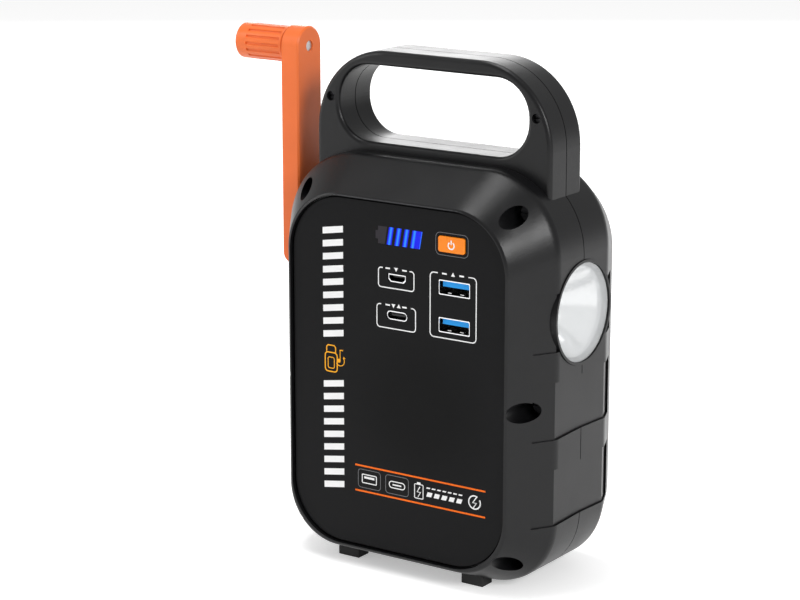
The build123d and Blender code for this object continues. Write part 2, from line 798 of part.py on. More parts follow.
def power_switch():
    """Push switch under the power button."""
    half = SWITCH_SIZE / 2
    front = -BOARD_FRONT - SWITCH_BODY
    width, height = (BUTTON_X - half, BUTTON_X + half), (BUTTON_Z - half, BUTTON_Z + half)
    body = block(width, (front, -BOARD_FRONT), height)
    return body + rod("Y", PLUNGER_R, (-STEM_END + BUTTON_TRAVEL + PLUNGER_GAP, front), (BUTTON_X, BUTTON_Z))


def gauge_bars():
    """Four light bars that fill their windows."""
    return [slab(face, -LABEL_FACE + GAUGE_SINK, -FRONT_INNER) for face in gauge_outlines()]


def gauge_places():
    """Middle of each light bar."""
    return [x + width / 2 + GAUGE_LEAN / 2 for x, width in GAUGE_BARS]


def light_guide():
    """Block behind the gauge with one light channel for each bar."""
    left, right = GAUGE_NUB[0] - GUIDE_MARGIN, sum(GAUGE_BARS[-1]) + GAUGE_LEAN + GUIDE_MARGIN
    limits = (GAUGE_LOW - GUIDE_MARGIN, GAUGE_HIGH + GUIDE_MARGIN)
    guide = block((left, right), (-FRONT_INNER, -BOARD_FRONT), limits)
    half = GUIDE_CHANNEL / 2
    middle = (GAUGE_LOW + GAUGE_HIGH) / 2
    height = (middle - 2 * half, middle + 2 * half)
    for x in gauge_places():
        guide -= block((x - half, x + half), (-FRONT_INNER, -BOARD_FRONT), height)
    return guide


def gauge_leds():
    """One small LED in each channel of the light guide."""
    wide, deep, tall = GAUGE_LED
    middle = (GAUGE_LOW + GAUGE_HIGH) / 2
    depths, heights = (-BOARD_FRONT - deep, -BOARD_FRONT), (middle - tall, middle + tall)
    return [block((x - wide / 2, x + wide / 2), depths, heights) for x in gauge_places()]


def socket_shell(x, z, width, height, kind):
    """Metal shell of a socket, open at its mouth, standing on the board."""
    outer, inner = socket_outline(width, height, kind, 0), socket_outline(width, height, kind, -SOCKET_METAL)
    return slab(Pos(x, z) * (outer - inner), -SOCKET_FACE, -BOARD_FRONT)


def socket_insert(x, z, width, height, kind, tongue, lift):
    """Plastic base of a socket with its contact tongue."""
    face = Pos(x, z) * socket_outline(width, height, kind, -SOCKET_METAL - SNUG)
    base = slab(face, -BOARD_FRONT - SOCKET_BASE, -BOARD_FRONT)
    wide, thick = tongue
    low = z + lift - thick / 2
    return base + block((x - wide / 2, x + wide / 2), (-TONGUE_FRONT, -BOARD_FRONT), (low, low + thick))


def main_board():
    """Circuit board with clearance holes for its screws."""
    board = block(BOARD_X, (-BOARD_FRONT, -BOARD_BACK), BOARD_Z)
    for at in board_posts():
        board -= rod("Y", SMALL_R + FIT_GAP, (-BOARD_FRONT, -BOARD_BACK), at)
    return board


def board_screws():
    """Four screws that hold the main board on its posts."""
    seat = -BOARD_BACK
    screws = []
    for at in board_posts():
        body = rod("Y", SMALL_R, (-BOARD_FRONT - SMALL_BITE, seat), at)
        screws.append(body + rod("Y", SMALL_HEAD_R, (seat, seat + SMALL_HEAD), at))
    return screws


def board_parts():
    """Chips, coil and capacitors on the back of the main board."""
    back = -BOARD_BACK
    parts = [
        block((-4, 4), (back, back + 1.2), (96, 104)),
        block((-16, -11), (back, back + 1.0), (100, 105)),
        block((16, 26), (back, back + 5.0), (98, 108)),
        block((8, 12), (back, back + 1.5), (110, 120)),
    ]
    return parts + [rod("Y", 3.0, (back, back + 6.5), at) for at in ((-10, 120), (0, 122), (30, 118))]


# ---- Torch ----

def torch_ring():
    """Black ring around the lens, with a flange behind the case wall."""
    flange_back = SIDE_INNER - RING_FLANGE
    ring = tube("X", RING_R, RING_BORE, (flange_back, RING_FACE), (0, TORCH_Z))
    flange = tube("X", RING_FLANGE_R, RING_BORE, (flange_back, SIDE_INNER), (0, TORCH_Z))
    return ring + (flange & inner_form())


def torch_lens():
    """Clear domed lens with a rim that stands on the reflector's flange."""
    foot = SIDE_INNER - RING_FLANGE
    top = LENS_EDGE + LENS_DOME
    bulge = (LENS_R**2 + LENS_DOME**2) / (2 * LENS_DOME)
    ball = Pos(top - bulge, 0, TORCH_Z) * Sphere(bulge)
    lens = rod("X", LENS_R, (foot, top), (0, TORCH_Z)) & ball
    return lens - rod("X", REFLECTOR_R, (foot, LENS_EDGE - LENS_THICK), (0, TORCH_Z))


def torch_reflector():
    """Parabolic bowl with a flange at its mouth and an open neck."""
    front = SIDE_INNER - RING_FLANGE
    depth = front - REFLECTOR_BACK
    gain = (REFLECTOR_R**2 - REFLECTOR_NECK**2) / depth
    steps = 8
    along = [depth * step / steps for step in range(steps + 1)]
    inner = [(REFLECTOR_BACK + way, (REFLECTOR_NECK**2 + gain * way) ** 0.5) for way in along]
    outer = [(x, radius + REFLECTOR_WALL) for x, radius in inner if x <= front - REFLECTOR_FLANGE]
    seat = front - REFLECTOR_FLANGE
    flange = [(seat, outer[-1][1]), (seat, RING_FLANGE_R), (front, RING_FLANGE_R)]
    return turned(outer[:-1] + flange + list(reversed(inner)), TORCH_Z) & inner_form()


def torch_board():
    """Round board behind the reflector."""
    return rod("X", TORCH_BOARD_R, (REFLECTOR_BACK - TORCH_BOARD, REFLECTOR_BACK), (0, TORCH_Z))


def torch_led():
    """Square LED with a small dome, in the reflector's neck."""
    size, thick = TORCH_LED
    top = REFLECTOR_BACK + thick
    base = block((REFLECTOR_BACK, top), (-size / 2, size / 2), (TORCH_Z - size / 2, TORCH_Z + size / 2))
    ball = Pos(top, 0, TORCH_Z) * Sphere(TORCH_LED_DOME)
    return base + (ball & block((top, top + size), (-size, size), (TORCH_Z - size, TORCH_Z + size)))


# ---- Lantern and rear buttons ----

def lantern_bezel():
    """Orange frame with the lantern window and the ways for buttons and indicator."""
    frame = slab(bezel_outline(0), REAR_WALL_OUT, BEZEL_FACE)
    frame = chamfer(edges_at(frame, BEZEL_FACE), SLOPE_EDGE / 2)
    frame -= slab(light_outline(FIT_GAP), REAR_WALL_OUT, BEZEL_FACE)
    for cut in key_slots(REAR_WALL_OUT, BEZEL_FACE, KEY_GAP):
        frame -= cut
    return frame


def lantern_diffuser():
    """Milky window with a lip behind the bezel."""
    window = slab(light_outline(0), REAR_WALL_OUT, BEZEL_FACE + LIGHT_PROUD)
    window = fillet(edges_at(window, BEZEL_FACE + LIGHT_PROUD), SLOPE_EDGE)
    return window + slab(light_outline(LIGHT_LIP), REAR_WALL_IN, REAR_WALL_OUT)


def lantern_tray():
    """White reflector tray with a flange against the inside of the rear wall."""
    tray = slab(light_outline(0), TRAY_FLOOR, REAR_WALL_IN)
    tray -= slab(light_outline(-TRAY_WALL), TRAY_FLOOR + TRAY_WALL, REAR_WALL_IN)
    ring = light_outline(TRAY_FLANGE) - light_outline(-TRAY_WALL / 2)
    return tray + slab(ring, REAR_WALL_IN - TRAY_FLANGE_THICK, REAR_WALL_IN)


def light_board():
    """Lantern LED board on the floor of the tray."""
    floor = TRAY_FLOOR + TRAY_WALL
    return slab(light_outline(-TRAY_WALL - MOVE_GAP), floor, floor + LIGHT_BOARD)


def light_leds():
    """Grid of lantern LEDs."""
    wide, deep, tall = LED_SIZE
    face = TRAY_FLOOR + TRAY_WALL + LIGHT_BOARD
    middle = (LIGHT_LOW + LIGHT_HIGH) / 2
    leds = []
    for column in range(LED_COLUMNS):
        for row in range(LED_ROWS):
            x = (column - (LED_COLUMNS - 1) / 2) * LED_PITCH_X
            z = middle + (row - (LED_ROWS - 1) / 2) * LED_PITCH_Z
            led = Pos(x, face + deep / 2, z) * Box(wide, deep, tall)
            leds.append(led)
    return leds


def rear_key(side):
    """Rear button with a retaining flange inside the wall. side is 1 for +X and -1 for -X."""
    flange_face = REAR_WALL_IN - MOVE_GAP
    cap = slab(Pos(0, KEYS_Z) * key_outline(side, 0, KEY_INNER_R), flange_face, BEZEL_FACE + KEY_PROUD)
    cap = chamfer(edges_at(cap, BEZEL_FACE + KEY_PROUD), KEY_PROUD / 2)
    lip = Pos(0, KEYS_Z) * key_outline(side, KEY_LIP, KEY_INNER_R)
    lip_cut = block((-KEY_INNER_R, KEY_INNER_R), (0, REAR_DEPTH), (KEYS_Z - KEY_REACH, KEYS_Z + KEY_REACH))
    return cap + (slab(lip, flange_face - KEY_FLANGE, flange_face) - lip_cut)


def key_board():
    """Board behind the rear buttons."""
    limits = (KEYS_Z - KEY_BOARD_HEIGHT / 2, KEYS_Z + KEY_BOARD_HEIGHT / 2)
    board = block((-KEY_BOARD_HALF, KEY_BOARD_HALF), (KEY_BOARD_FACE - KEY_BOARD, KEY_BOARD_FACE), limits)
    for x in (-KEY_POST_X, KEY_POST_X):
        board -= rod("Y", SMALL_R + FIT_GAP, (KEY_BOARD_FACE - KEY_BOARD, KEY_BOARD_FACE), (x, KEYS_Z))
    return board


def key_board_screws():
    """Two screws that hold the button board on its posts."""
    back = KEY_BOARD_FACE - KEY_BOARD
    screws = []
    for x in (-KEY_POST_X, KEY_POST_X):
        body = rod("Y", SMALL_R, (back, KEY_BOARD_FACE + SMALL_BITE - KEY_BOARD - MOVE_GAP), (x, KEYS_Z))
        screws.append(body + rod("Y", SMALL_HEAD_R, (back - SMALL_HEAD, back), (x, KEYS_Z)))
    return screws


def key_switches():
    """Two push switches under the rear buttons."""
    half = KEY_SWITCH / 2
    top = KEY_BOARD_FACE + KEY_SWITCH_BODY
    tip = REAR_WALL_IN - MOVE_GAP - KEY_FLANGE - BUTTON_TRAVEL - PLUNGER_GAP
    switches = []
    for x in (-KEY_SWITCH_X, KEY_SWITCH_X):
        body = block((x - half, x + half), (KEY_BOARD_FACE, top), (KEYS_Z - half, KEYS_Z + half))
        switches.append(body + rod("Y", KEY_PLUNGER_R, (top, tip), (x, KEYS_Z)))
    return switches


def indicator_lens():
    """Round white light pipe between the two rear buttons."""
    lens = rod("Y", INDICATOR_R, (KEY_BOARD_FACE + INDICATOR_LED, BEZEL_FACE + KEY_PROUD), (0, KEYS_Z))
    return fillet(edges_at(lens, BEZEL_FACE + KEY_PROUD), KEY_PROUD)


def indicator_led():
    """LED behind the indicator lens."""
    half = INDICATOR_R / 2
    depths = (KEY_BOARD_FACE, KEY_BOARD_FACE + INDICATOR_LED)
    return block((-half, half), depths, (KEYS_Z - half, KEYS_Z + half))


# ---- Crank ----

def crank_hub():
    """Round hub with the tongue that carries the arm's hinge pin."""
    disc = rod("X", HUB_R, (-HUB_FACE, -HUB_BACK), (0, CRANK_Z))
    disc = fillet(disc.edges().filter_by_position(Axis.X, -HUB_FACE - 0.01, -HUB_FACE + 0.01), ARM_EDGE)
    low = CRANK_Z - HUB_R + TONGUE_ROUND / 3
    high = PIN_Z + TONGUE_ROUND + PIN_R / 2
    middle = -(HUB_BACK + TONGUE_REACH) / 2
    face = rounded(middle, (low + high) / 2, TONGUE_REACH - HUB_BACK, high - low, TONGUE_ROUND)
    width = (-TONGUE_HALF, TONGUE_HALF)
    tongue = slab(face, *width) & block((-TONGUE_REACH, -HUB_FACE), width, (low, high))
    shoulder = block((-SHOULDER_REACH, -HUB_FACE), width, (low + TONGUE_ROUND, CRANK_Z + SHOULDER_RISE))
    hub = disc + tongue + shoulder
    hub -= rod("X", SHAFT_R + SNUG, (-SHAFT_OUT, -HUB_BACK), (0, CRANK_Z))
    return hub - rod("Y", PIN_R + SNUG, (-ARM_HALF, ARM_HALF), (-PIN_X, PIN_Z))


def crank_pin():
    """Steel hinge pin of the folding arm."""
    return rod("Y", PIN_R, (-ARM_HALF + FIT_GAP, ARM_HALF - FIT_GAP), (-PIN_X, PIN_Z))


def crank_arm():
    """Channel-shaped arm with two hinge ears and a round end that holds the knob's axle."""
    bar = Pos(0, (PIN_Z + KNOB_Z) / 2) * Rectangle(2 * ARM_HALF, ARM_LENGTH)
    bar += Pos(0, KNOB_Z) * Circle(ARM_HALF)
    arm = side_slab(bar, -ARM_FRONT, -ARM_BACK)
    arm += rod("Y", ARM_DEPTH / 2, (-ARM_HALF, ARM_HALF), (-PIN_X, PIN_Z))
    half = ARM_HALF - ARM_WALL
    low = PIN_Z - ARM_DEPTH
    web = -ARM_BACK - ARM_WEB
    long_slot = Pos(0, (low + KNOB_Z - CHANNEL_END) / 2) * Rectangle(2 * half, KNOB_Z - CHANNEL_END - low)
    channel = side_slab(long_slot, -ARM_FRONT, web)
    hinge_gap = block((-ARM_FRONT, -ARM_BACK), (-half, half), (low, PIN_Z + WEB_START))
    arm = arm - channel - hinge_gap
    arm = chamfer(edges_of_ends(arm), ARM_EDGE)
    arm -= rod("Y", PIN_R + PIN_RUN, (-ARM_HALF, ARM_HALF), (-PIN_X, PIN_Z))
    return arm - rod("X", AXLE_R + SNUG, (-ARM_FRONT, -ARM_BACK), (0, KNOB_Z))


def edges_of_ends(arm):
    """Outer long edges of the arm, on the side that faces away from the case."""
    outer = arm.edges().filter_by_position(Axis.X, -ARM_FRONT - 0.01, -ARM_FRONT + 0.01)
    return outer.filter_by(lambda edge: abs(edge.center().Y) > ARM_HALF - 0.01 or edge.center().Z > KNOB_Z)


def knob():
    """Fluted knob, bored for its axle and hollow at its outer end."""
    base = ARM_FRONT + MOVE_GAP
    tip = base + KNOB_LENGTH
    body = rod("X", KNOB_R, (-tip, -base), (0, KNOB_Z))
    body = fillet(body.edges().filter_by(GeomType.CIRCLE), ARM_EDGE)
    for index in range(KNOB_FLUTES):
        angle = 2 * pi * index / KNOB_FLUTES
        centre = (KNOB_R * cos(angle), KNOB_Z + KNOB_R * cos(angle - pi / 2))
        body -= rod("X", FLUTE_R, (-base - FLUTE_START - FLUTE_LENGTH, -base - FLUTE_START), centre)
    body -= rod("X", AXLE_R + AXLE_RUN, (-tip, -base), (0, KNOB_Z))
    return body - rod("X", KNOB_CUP_R, (-tip, -tip + KNOB_CUP), (0, KNOB_Z))


def knob_axle():
    """Axle fixed in the arm, with a head that keeps the knob on."""
    floor = ARM_FRONT + MOVE_GAP + KNOB_LENGTH - KNOB_CUP
    head = floor + MOVE_GAP
    stem = rod("X", AXLE_R, (-head, -ARM_BACK - ARM_EDGE), (0, KNOB_Z))
    return stem + rod("X", AXLE_HEAD_R, (-head - AXLE_HEAD, -head), (0, KNOB_Z))


def knob_cap():
    """Cap that closes the end of the knob."""
    tip = ARM_FRONT + MOVE_GAP + KNOB_LENGTH - CAP_SINK
    return rod("X", KNOB_CUP_R - SNUG, (-tip, -tip + CAP_THICK), (0, KNOB_Z))


def above_ramp(lift):
    """Space above the ramped lower wall of the knob pocket, raised by a wall's thickness."""
    low, outside, high = POCKET_LOW + lift, -CASE_HALF - WALL, 2 * POCKET_HIGH
    floor = [(outside, low), (-RAMP_START, low), (-RAMP_END, low + RAMP_RISE), (0, low + RAMP_RISE)]
    return slab(polygon(floor + [(0, high), (outside, high)]), -2 * POCKET_HALF, 2 * POCKET_HALF)


def knob_pocket():
    """Cup in the side of the case that takes the knob when the crank is stowed."""
    cup = side_slab(stadium(POCKET_HALF, POCKET_LOW, POCKET_HIGH), -CASE_HALF, -POCKET_FLOOR)
    cup &= case_form(0, FRONT_DEPTH, REAR_DEPTH)
    cup &= above_ramp(0)
    flange = stadium(POCKET_HALF + POCKET_FLANGE, POCKET_LOW - POCKET_FLANGE, POCKET_HIGH + POCKET_FLANGE)
    collar = side_slab(flange, -CASE_HALF, -POCKET_FLOOR) & inner_form()
    cup += collar - case_form(WALL + POCKET_FLANGE, FRONT_INNER, REAR_WALL_IN)
    inner = stadium(POCKET_HALF - POCKET_WALL, POCKET_LOW + POCKET_WALL, POCKET_HIGH - POCKET_WALL)
    hollow = side_slab(inner, -CASE_HALF - WALL, -POCKET_FLOOR - POCKET_FLOOR_THICK)
    return cup - (hollow & above_ramp(POCKET_WALL))


# ---- Gear train and generator ----

def involute(angle):
    """Involute function of a pressure angle."""
    return tan(angle) - angle


def gear_outline(teeth, first):
    """Gear outline with one tooth centred on the angle first."""
    pitch = GEAR_MODULE * teeth / 2
    base = pitch * cos(PRESSURE)
    radii = (pitch - DEDENDUM * GEAR_MODULE, pitch, pitch + ADDENDUM * GEAR_MODULE)
    halves = []
    for radius in radii:
        slope = acos(base / max(radius, base))
        halves.append(pi / (2 * teeth) + involute(PRESSURE) - involute(slope) - BACKLASH / (2 * pitch))
    points = []
    for tooth in range(teeth):
        middle = first + 2 * pi * tooth / teeth
        flank = [(radius, middle - half) for radius, half in zip(radii, halves)]
        back = [(radius, middle + half) for radius, half in zip(reversed(radii), reversed(halves))]
        points += [(radius * cos(angle), radius * cos(angle - pi / 2)) for radius, angle in flank + back]
    return polygon(points)


def gear(teeth, first, span, z):
    """Spur gear along X between two widths on the -X side."""
    outer, inner = span
    return side_slab(Pos(0, z) * gear_outline(teeth, first), -outer, -inner)


def crank_shaft():
    """Steel shaft from the hub to the inner plate, grooved for its clip."""
    shaft = rod("X", SHAFT_R, (-SHAFT_OUT, -SHAFT_IN), (0, CRANK_Z))
    start = -INNER_FACE + MOVE_GAP
    groove = (start, start + CLIP_THICK)
    return shaft - tube("X", SHAFT_R + CLIP_BITE, SHAFT_R - CLIP_BITE, groove, (0, CRANK_Z))


def shaft_clip():
    """Clip that keeps the shaft in the inner plate."""
    start = -INNER_FACE + MOVE_GAP
    span = (start + SNUG, start + CLIP_THICK - SNUG)
    return tube("X", CLIP_R, SHAFT_R - CLIP_BITE + SNUG, span, (0, CRANK_Z))


def shaft_bush():
    """Flanged bush in the case wall."""
    bush = rod("X", BUSH_R, (-CASE_HALF, -OUTER_PLATE - PLATE), (0, CRANK_Z))
    bush += rod("X", BUSH_FLANGE_R, (-SIDE_INNER, -SIDE_INNER + BUSH_FLANGE), (0, CRANK_Z))
    return bush - rod("X", SHAFT_R + SHAFT_RUN, (-CASE_HALF, -OUTER_PLATE - PLATE), (0, CRANK_Z))


def crank_gear():
    """Large gear on the crank shaft with a sleeve that spaces it between the plates."""
    wheel = gear(CRANK_TEETH, -pi / 2, CRANK_GEAR, CRANK_Z)
    wheel += rod("X", CRANK_SLEEVE_R, (-OUTER_PLATE + MOVE_GAP, -INNER_PLATE - MOVE_GAP), (0, CRANK_Z))
    return wheel - rod("X", SHAFT_R + SNUG, (-OUTER_PLATE, -INNER_PLATE), (0, CRANK_Z))


def idler_gear():
    """Small and large gear on one sleeve, between the crank gear and the generator."""
    pinion = gear(PINION_TEETH, pi / 2 + pi / PINION_TEETH, IDLER_PINION, IDLER_Z)
    wheel = gear(WHEEL_TEETH, -pi / 2, IDLER_WHEEL, IDLER_Z)
    sleeve = rod("X", IDLER_SLEEVE_R, (-OUTER_PLATE + MOVE_GAP, -INNER_PLATE - MOVE_GAP), (0, IDLER_Z))
    bore = rod("X", IDLER_AXLE_R + SHAFT_RUN, (-OUTER_PLATE, -INNER_PLATE), (0, IDLER_Z))
    return pinion + wheel + sleeve - bore


def idler_axle():
    """Fixed axle of the idler, held in both plates."""
    return rod("X", IDLER_AXLE_R, (-OUTER_PLATE - PLATE, -INNER_FACE), (0, IDLER_Z))


def generator_pinion():
    """Pinion on the generator's shaft."""
    pinion = gear(PINION_TEETH, pi / 2 + pi / PINION_TEETH, GENERATOR_PINION, GENERATOR_Z)
    return pinion - rod("X", ROTOR_SHAFT_R + SNUG, tuple(-x for x in GENERATOR_PINION), (0, GENERATOR_Z))


def generator_can():
    """Steel can of the generator, with a front boss that sits in the inner plate."""
    back = -INNER_FACE + CAN_LENGTH
    can = rod("X", CAN_R, (-INNER_FACE, back), (0, GENERATOR_Z))
    can += rod("X", CAN_BOSS_R, (-INNER_PLATE, -INNER_FACE), (0, GENERATOR_Z))
    can -= rod("X", CAN_R - CAN_WALL, (-INNER_FACE + CAN_FACE, back - CAN_WALL), (0, GENERATOR_Z))
    return can - rod("X", ROTOR_SHAFT_R + ROTOR_RUN, (-INNER_PLATE, back - CAN_WALL / 2), (0, GENERATOR_Z))


def generator_rotor():
    """Magnet rotor on its shaft."""
    back = -INNER_FACE + CAN_LENGTH - CAN_WALL
    rotor = rod("X", ROTOR_R, (-INNER_FACE + CAN_FACE + ROTOR_GAP, back - ROTOR_GAP), (0, GENERATOR_Z))
    return rotor + rod("X", ROTOR_SHAFT_R, (-GENERATOR_PINION[0], back + CAN_WALL / 4), (0, GENERATOR_Z))


def outer_plate():
    """Gearbox plate next to the case wall."""
    span = (-OUTER_PLATE - PLATE, -OUTER_PLATE)
    plate = block(span, (-PLATE_HALF, PLATE_HALF), (OUTER_PLATE_LOW, PLATE_TOP))
    plate -= rod("X", SHAFT_R + 2 * FIT_GAP, span, (0, CRANK_Z))
    plate -= rod("X", IDLER_AXLE_R + SNUG, span, (0, IDLER_Z))
    for at in spacer_places():
        plate -= rod("X", SPIGOT_R + SNUG, span, at)
    return plate


def inner_plate():
    """Gearbox plate with a foot flange that is screwed to the front shell."""
    span = (-INNER_PLATE, -INNER_FACE)
    height = (INNER_PLATE_LOW, PLATE_TOP)
    flange_span = (-FLANGE_DEPTH, -FLANGE_DEPTH + PLATE)
    plate = block(span, (-FLANGE_DEPTH, PLATE_HALF), height)
    plate += block((-INNER_PLATE, -INNER_PLATE + FLANGE_REACH), flange_span, height)
    plate -= rod("X", SHAFT_R + SHAFT_RUN, span, (0, CRANK_Z))
    plate -= rod("X", IDLER_AXLE_R + SNUG, span, (0, IDLER_Z))
    plate -= rod("X", CAN_BOSS_R + SNUG, span, (0, GENERATOR_Z))
    for at in spacer_places():
        plate -= rod("X", SMALL_R + FIT_GAP, span, at)
    for z in FLANGE_SCREWS:
        plate -= rod("Y", SMALL_R + FIT_GAP, flange_span, (-FLANGE_SCREW_X, z))
    return plate


def spacer_places():
    """Places of the four spacers in the side view."""
    return mirrored(SPACERS)


def spacers():
    """Four spacers between the plates, each with a spigot in the outer plate."""
    posts = []
    for at in spacer_places():
        post = rod("X", SPACER_R, (-OUTER_PLATE, -INNER_PLATE), at)
        post += rod("X", SPIGOT_R, (-OUTER_PLATE - PLATE, -OUTER_PLATE), at)
        posts.append(post - rod("X", SMALL_R + SNUG, (-INNER_PLATE - SMALL_BITE, -INNER_PLATE), at))
    return posts


def gearbox_screws():
    """Screws that hold the inner plate to the spacers and to the front shell."""
    screws = []
    for at in spacer_places():
        body = rod("X", SMALL_R, (-INNER_PLATE - SMALL_BITE + MOVE_GAP, -INNER_FACE), at)
        screws.append(body + rod("X", SMALL_HEAD_R, (-INNER_FACE, -INNER_FACE + SMALL_HEAD), at))
    seat = -FLANGE_DEPTH + PLATE
    for z in FLANGE_SCREWS:
        at = (-FLANGE_SCREW_X, z)
        body = rod("Y", SMALL_R, (seat - SMALL_BITE + MOVE_GAP, seat), at)
        screws.append(body + rod("Y", SMALL_HEAD_R, (seat, seat + SMALL_HEAD), at))
    return screws


# ---- Battery and feet ----

def cell_places():
    """Middle of each upright battery cell."""
    return [(CELL_X + index * CELL_PITCH, CELL_Y) for index in range(CELL_COUNT)]


def battery_cells():
    """Upright cells, each with a small raised contact."""
    low = WALL + HOLDER_FLOOR
    cells = []
    for at in cell_places():
        top = low + CELL_LENGTH - CELL_CONTACT
        cell = rod("Z", CELL_R, (low, top), at)
        cell = fillet(cell.edges().filter_by(GeomType.CIRCLE), CELL_EDGE)
        cells.append(cell + rod("Z", CELL_R / 3, (top, low + CELL_LENGTH), at))
    return cells


def battery_holder():
    """Open-topped holder that stands on the bottom of the case."""
    reach = CELL_R + CELL_GAP + HOLDER_WALL
    last = cell_places()[-1][0]
    limits = (CELL_Y - reach, CELL_Y + reach)
    holder = block((CELL_X - reach, last + reach), limits, (WALL, WALL + HOLDER_HEIGHT))
    holder = chamfer(holder.edges().filter_by(Axis.Y).sort_by(Axis.Z)[:2], HOLDER_CHAMFER)
    for at in cell_places():
        holder -= rod("Z", CELL_R + CELL_GAP, (WALL + HOLDER_FLOOR, WALL + HOLDER_HEIGHT), at)
    return holder


# ---- Writing the nodes ----

def build():
    """All nodes by name."""
    front, rear = shells()
    nodes = {
        "front_shell": front,
        "rear_shell": rear,
        "label_panel": label_panel(),
        "power_button": power_button(),
        "power_switch": power_switch(),
        "charge_level_bars": group(gauge_bars()),
        "charge_level_tip": slab(gauge_tip_outline(), -LABEL_FACE + GAUGE_SINK, -FRONT_INNER),
        "gauge_light_guide": light_guide(),
        "gauge_leds": group(gauge_leds()),
        "main_circuit_board": main_board(),
        "board_components": group(board_parts()),
        "board_screws": group(board_screws()),
        "torch_ring": torch_ring(),
        "torch_lens": torch_lens(),
        "torch_reflector": torch_reflector(),
        "torch_led_board": torch_board(),
        "torch_led": torch_led(),
        "lantern_bezel": lantern_bezel(),
        "lantern_diffuser": lantern_diffuser(),
        "lantern_reflector_tray": lantern_tray(),
        "lantern_light_board": light_board(),
        "lantern_leds": group(light_leds()),
        "lamp_button": rear_key(-1),
        "torch_button": rear_key(1),
        "indicator_lens": indicator_lens(),
        "indicator_led": indicator_led(),
        "rear_button_board": key_board(),
        "rear_button_screws": group(key_board_screws()),
        "rear_button_switches": group(key_switches()),
        "crank_hub": crank_hub(),
        "crank_pin": crank_pin(),
        "crank_arm": crank_arm(),
        "crank_knob": knob(),
        "knob_axle": knob_axle(),
        "knob_cap": knob_cap(),
        "knob_pocket": knob_pocket(),
        "crank_shaft": crank_shaft(),
        "shaft_clip": shaft_clip(),
        "shaft_bush": shaft_bush(),
        "crank_gear": crank_gear(),
        "idler_gear": idler_gear(),
        "idler_axle": idler_axle(),
        "generator_pinion": generator_pinion(),
        "generator_can": generator_can(),
        "generator_rotor": generator_rotor(),
        "gearbox_outer_plate": outer_plate(),
        "gearbox_inner_plate": inner_plate(),
        "gearbox_spacers": group(spacers()),
        "gearbox_screws": group(gearbox_screws()),
        "battery_cells": group(battery_cells()),
        "battery_holder": battery_holder(),
        "case_screws": group(case_screws()),
        "handle_screws": group(handle_screws()),
        "rubber_feet": group(foot_blocks(0)),
    }
    for name, place in SOCKETS.items():
        nodes[name] = socket_shell(*place)
    wide = [SOCKETS[name] for name in ("usb_a_port_upper", "usb_a_port_lower")]
    nodes["usb_a_tongues"] = group([socket_insert(*place, USB_A_TONGUE, USB_A_TONGUE_LIFT) for place in wide])
    micro = socket_insert(*SOCKETS["micro_usb_port"], MICRO_TONGUE, MICRO_HEIGHT / 6)
    nodes["small_port_tongues"] = group([micro, socket_insert(*SOCKETS["usb_c_port"], USB_C_TONGUE, 0)])
    return nodes


os.makedirs("parts", exist_ok=True)
for node_name, node_shape in build().items():
    export_step(node_shape, f"parts/{node_name}.step")
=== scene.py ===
import logging
import math
from collections.abc import Callable
from dataclasses import dataclass, replace
from enum import Enum
from functools import cached_property

import bpy
from mathutils import Matrix, Vector


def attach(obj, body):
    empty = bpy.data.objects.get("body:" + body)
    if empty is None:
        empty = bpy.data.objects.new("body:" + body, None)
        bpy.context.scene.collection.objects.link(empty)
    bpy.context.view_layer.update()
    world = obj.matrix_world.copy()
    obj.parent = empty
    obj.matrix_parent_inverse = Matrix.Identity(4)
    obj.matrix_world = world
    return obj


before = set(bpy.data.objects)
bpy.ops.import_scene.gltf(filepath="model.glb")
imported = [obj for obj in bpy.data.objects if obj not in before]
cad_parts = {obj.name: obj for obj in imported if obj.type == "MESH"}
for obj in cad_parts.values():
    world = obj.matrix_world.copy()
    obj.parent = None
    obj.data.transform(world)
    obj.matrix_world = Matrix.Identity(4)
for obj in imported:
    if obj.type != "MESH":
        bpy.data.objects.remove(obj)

log = logging.getLogger("hand_crank_charger")

MM = 0.001
WHITE_LIGHT = (1.0, 1.0, 1.0, 1.0)

Point = tuple[float, ...]
Triple = tuple[float, float, float]
Rgba = tuple[float, float, float, float]
Piece = bpy.types.Object
Socket = bpy.types.NodeSocket


# ---- Finishes ----

NOISE_BAND = (0.3, 0.7)
DRIFT_SIZE, CLOUD_SIZE, DRIFT_LAYERS = 22.0, 9.0, 3.0
SMUDGE_SIZE, SMUDGE_LAYERS = 14.0, 5.0
GRAIN_LAYERS, BRUSH_LAYERS, BRUSH_STRETCH = 4.0, 2.0, 12.0
SMOOTHEST = 0.02
SCATTER_REACH = 2 * MM
# round painted shade: how dark it gets, and the share of its radius that is fully dark
PAINTED_SHADE_SHARE, PAINTED_SHADE_CORE = 0.35, 0.4
STREAK_EDGE = 0.35


class Grain(Enum):
    """Surface patterns that a finish can carry."""

    MOULDED = "fine even grain of a textured mould"
    GLOSSY = "smooth skin with faint long waves"
    BRUSHED = "drawn metal with short streaks"
    FACETED = "small facets of a pressed mirror"
    CLOUDY = "milky plastic with soft clouds"


def linear(colour: Triple) -> Rgba:
    """Turns a colour as seen on screen into the values that shaders use.

    Args:
        colour: red, green and blue from 0 to 1, as seen.

    Returns:
        Linear red, green, blue and full opacity.
    """
    parts = [c / 12.92 if c <= 0.04045 else ((c + 0.055) / 1.055) ** 2.4 for c in colour]
    return parts[0], parts[1], parts[2], 1.0


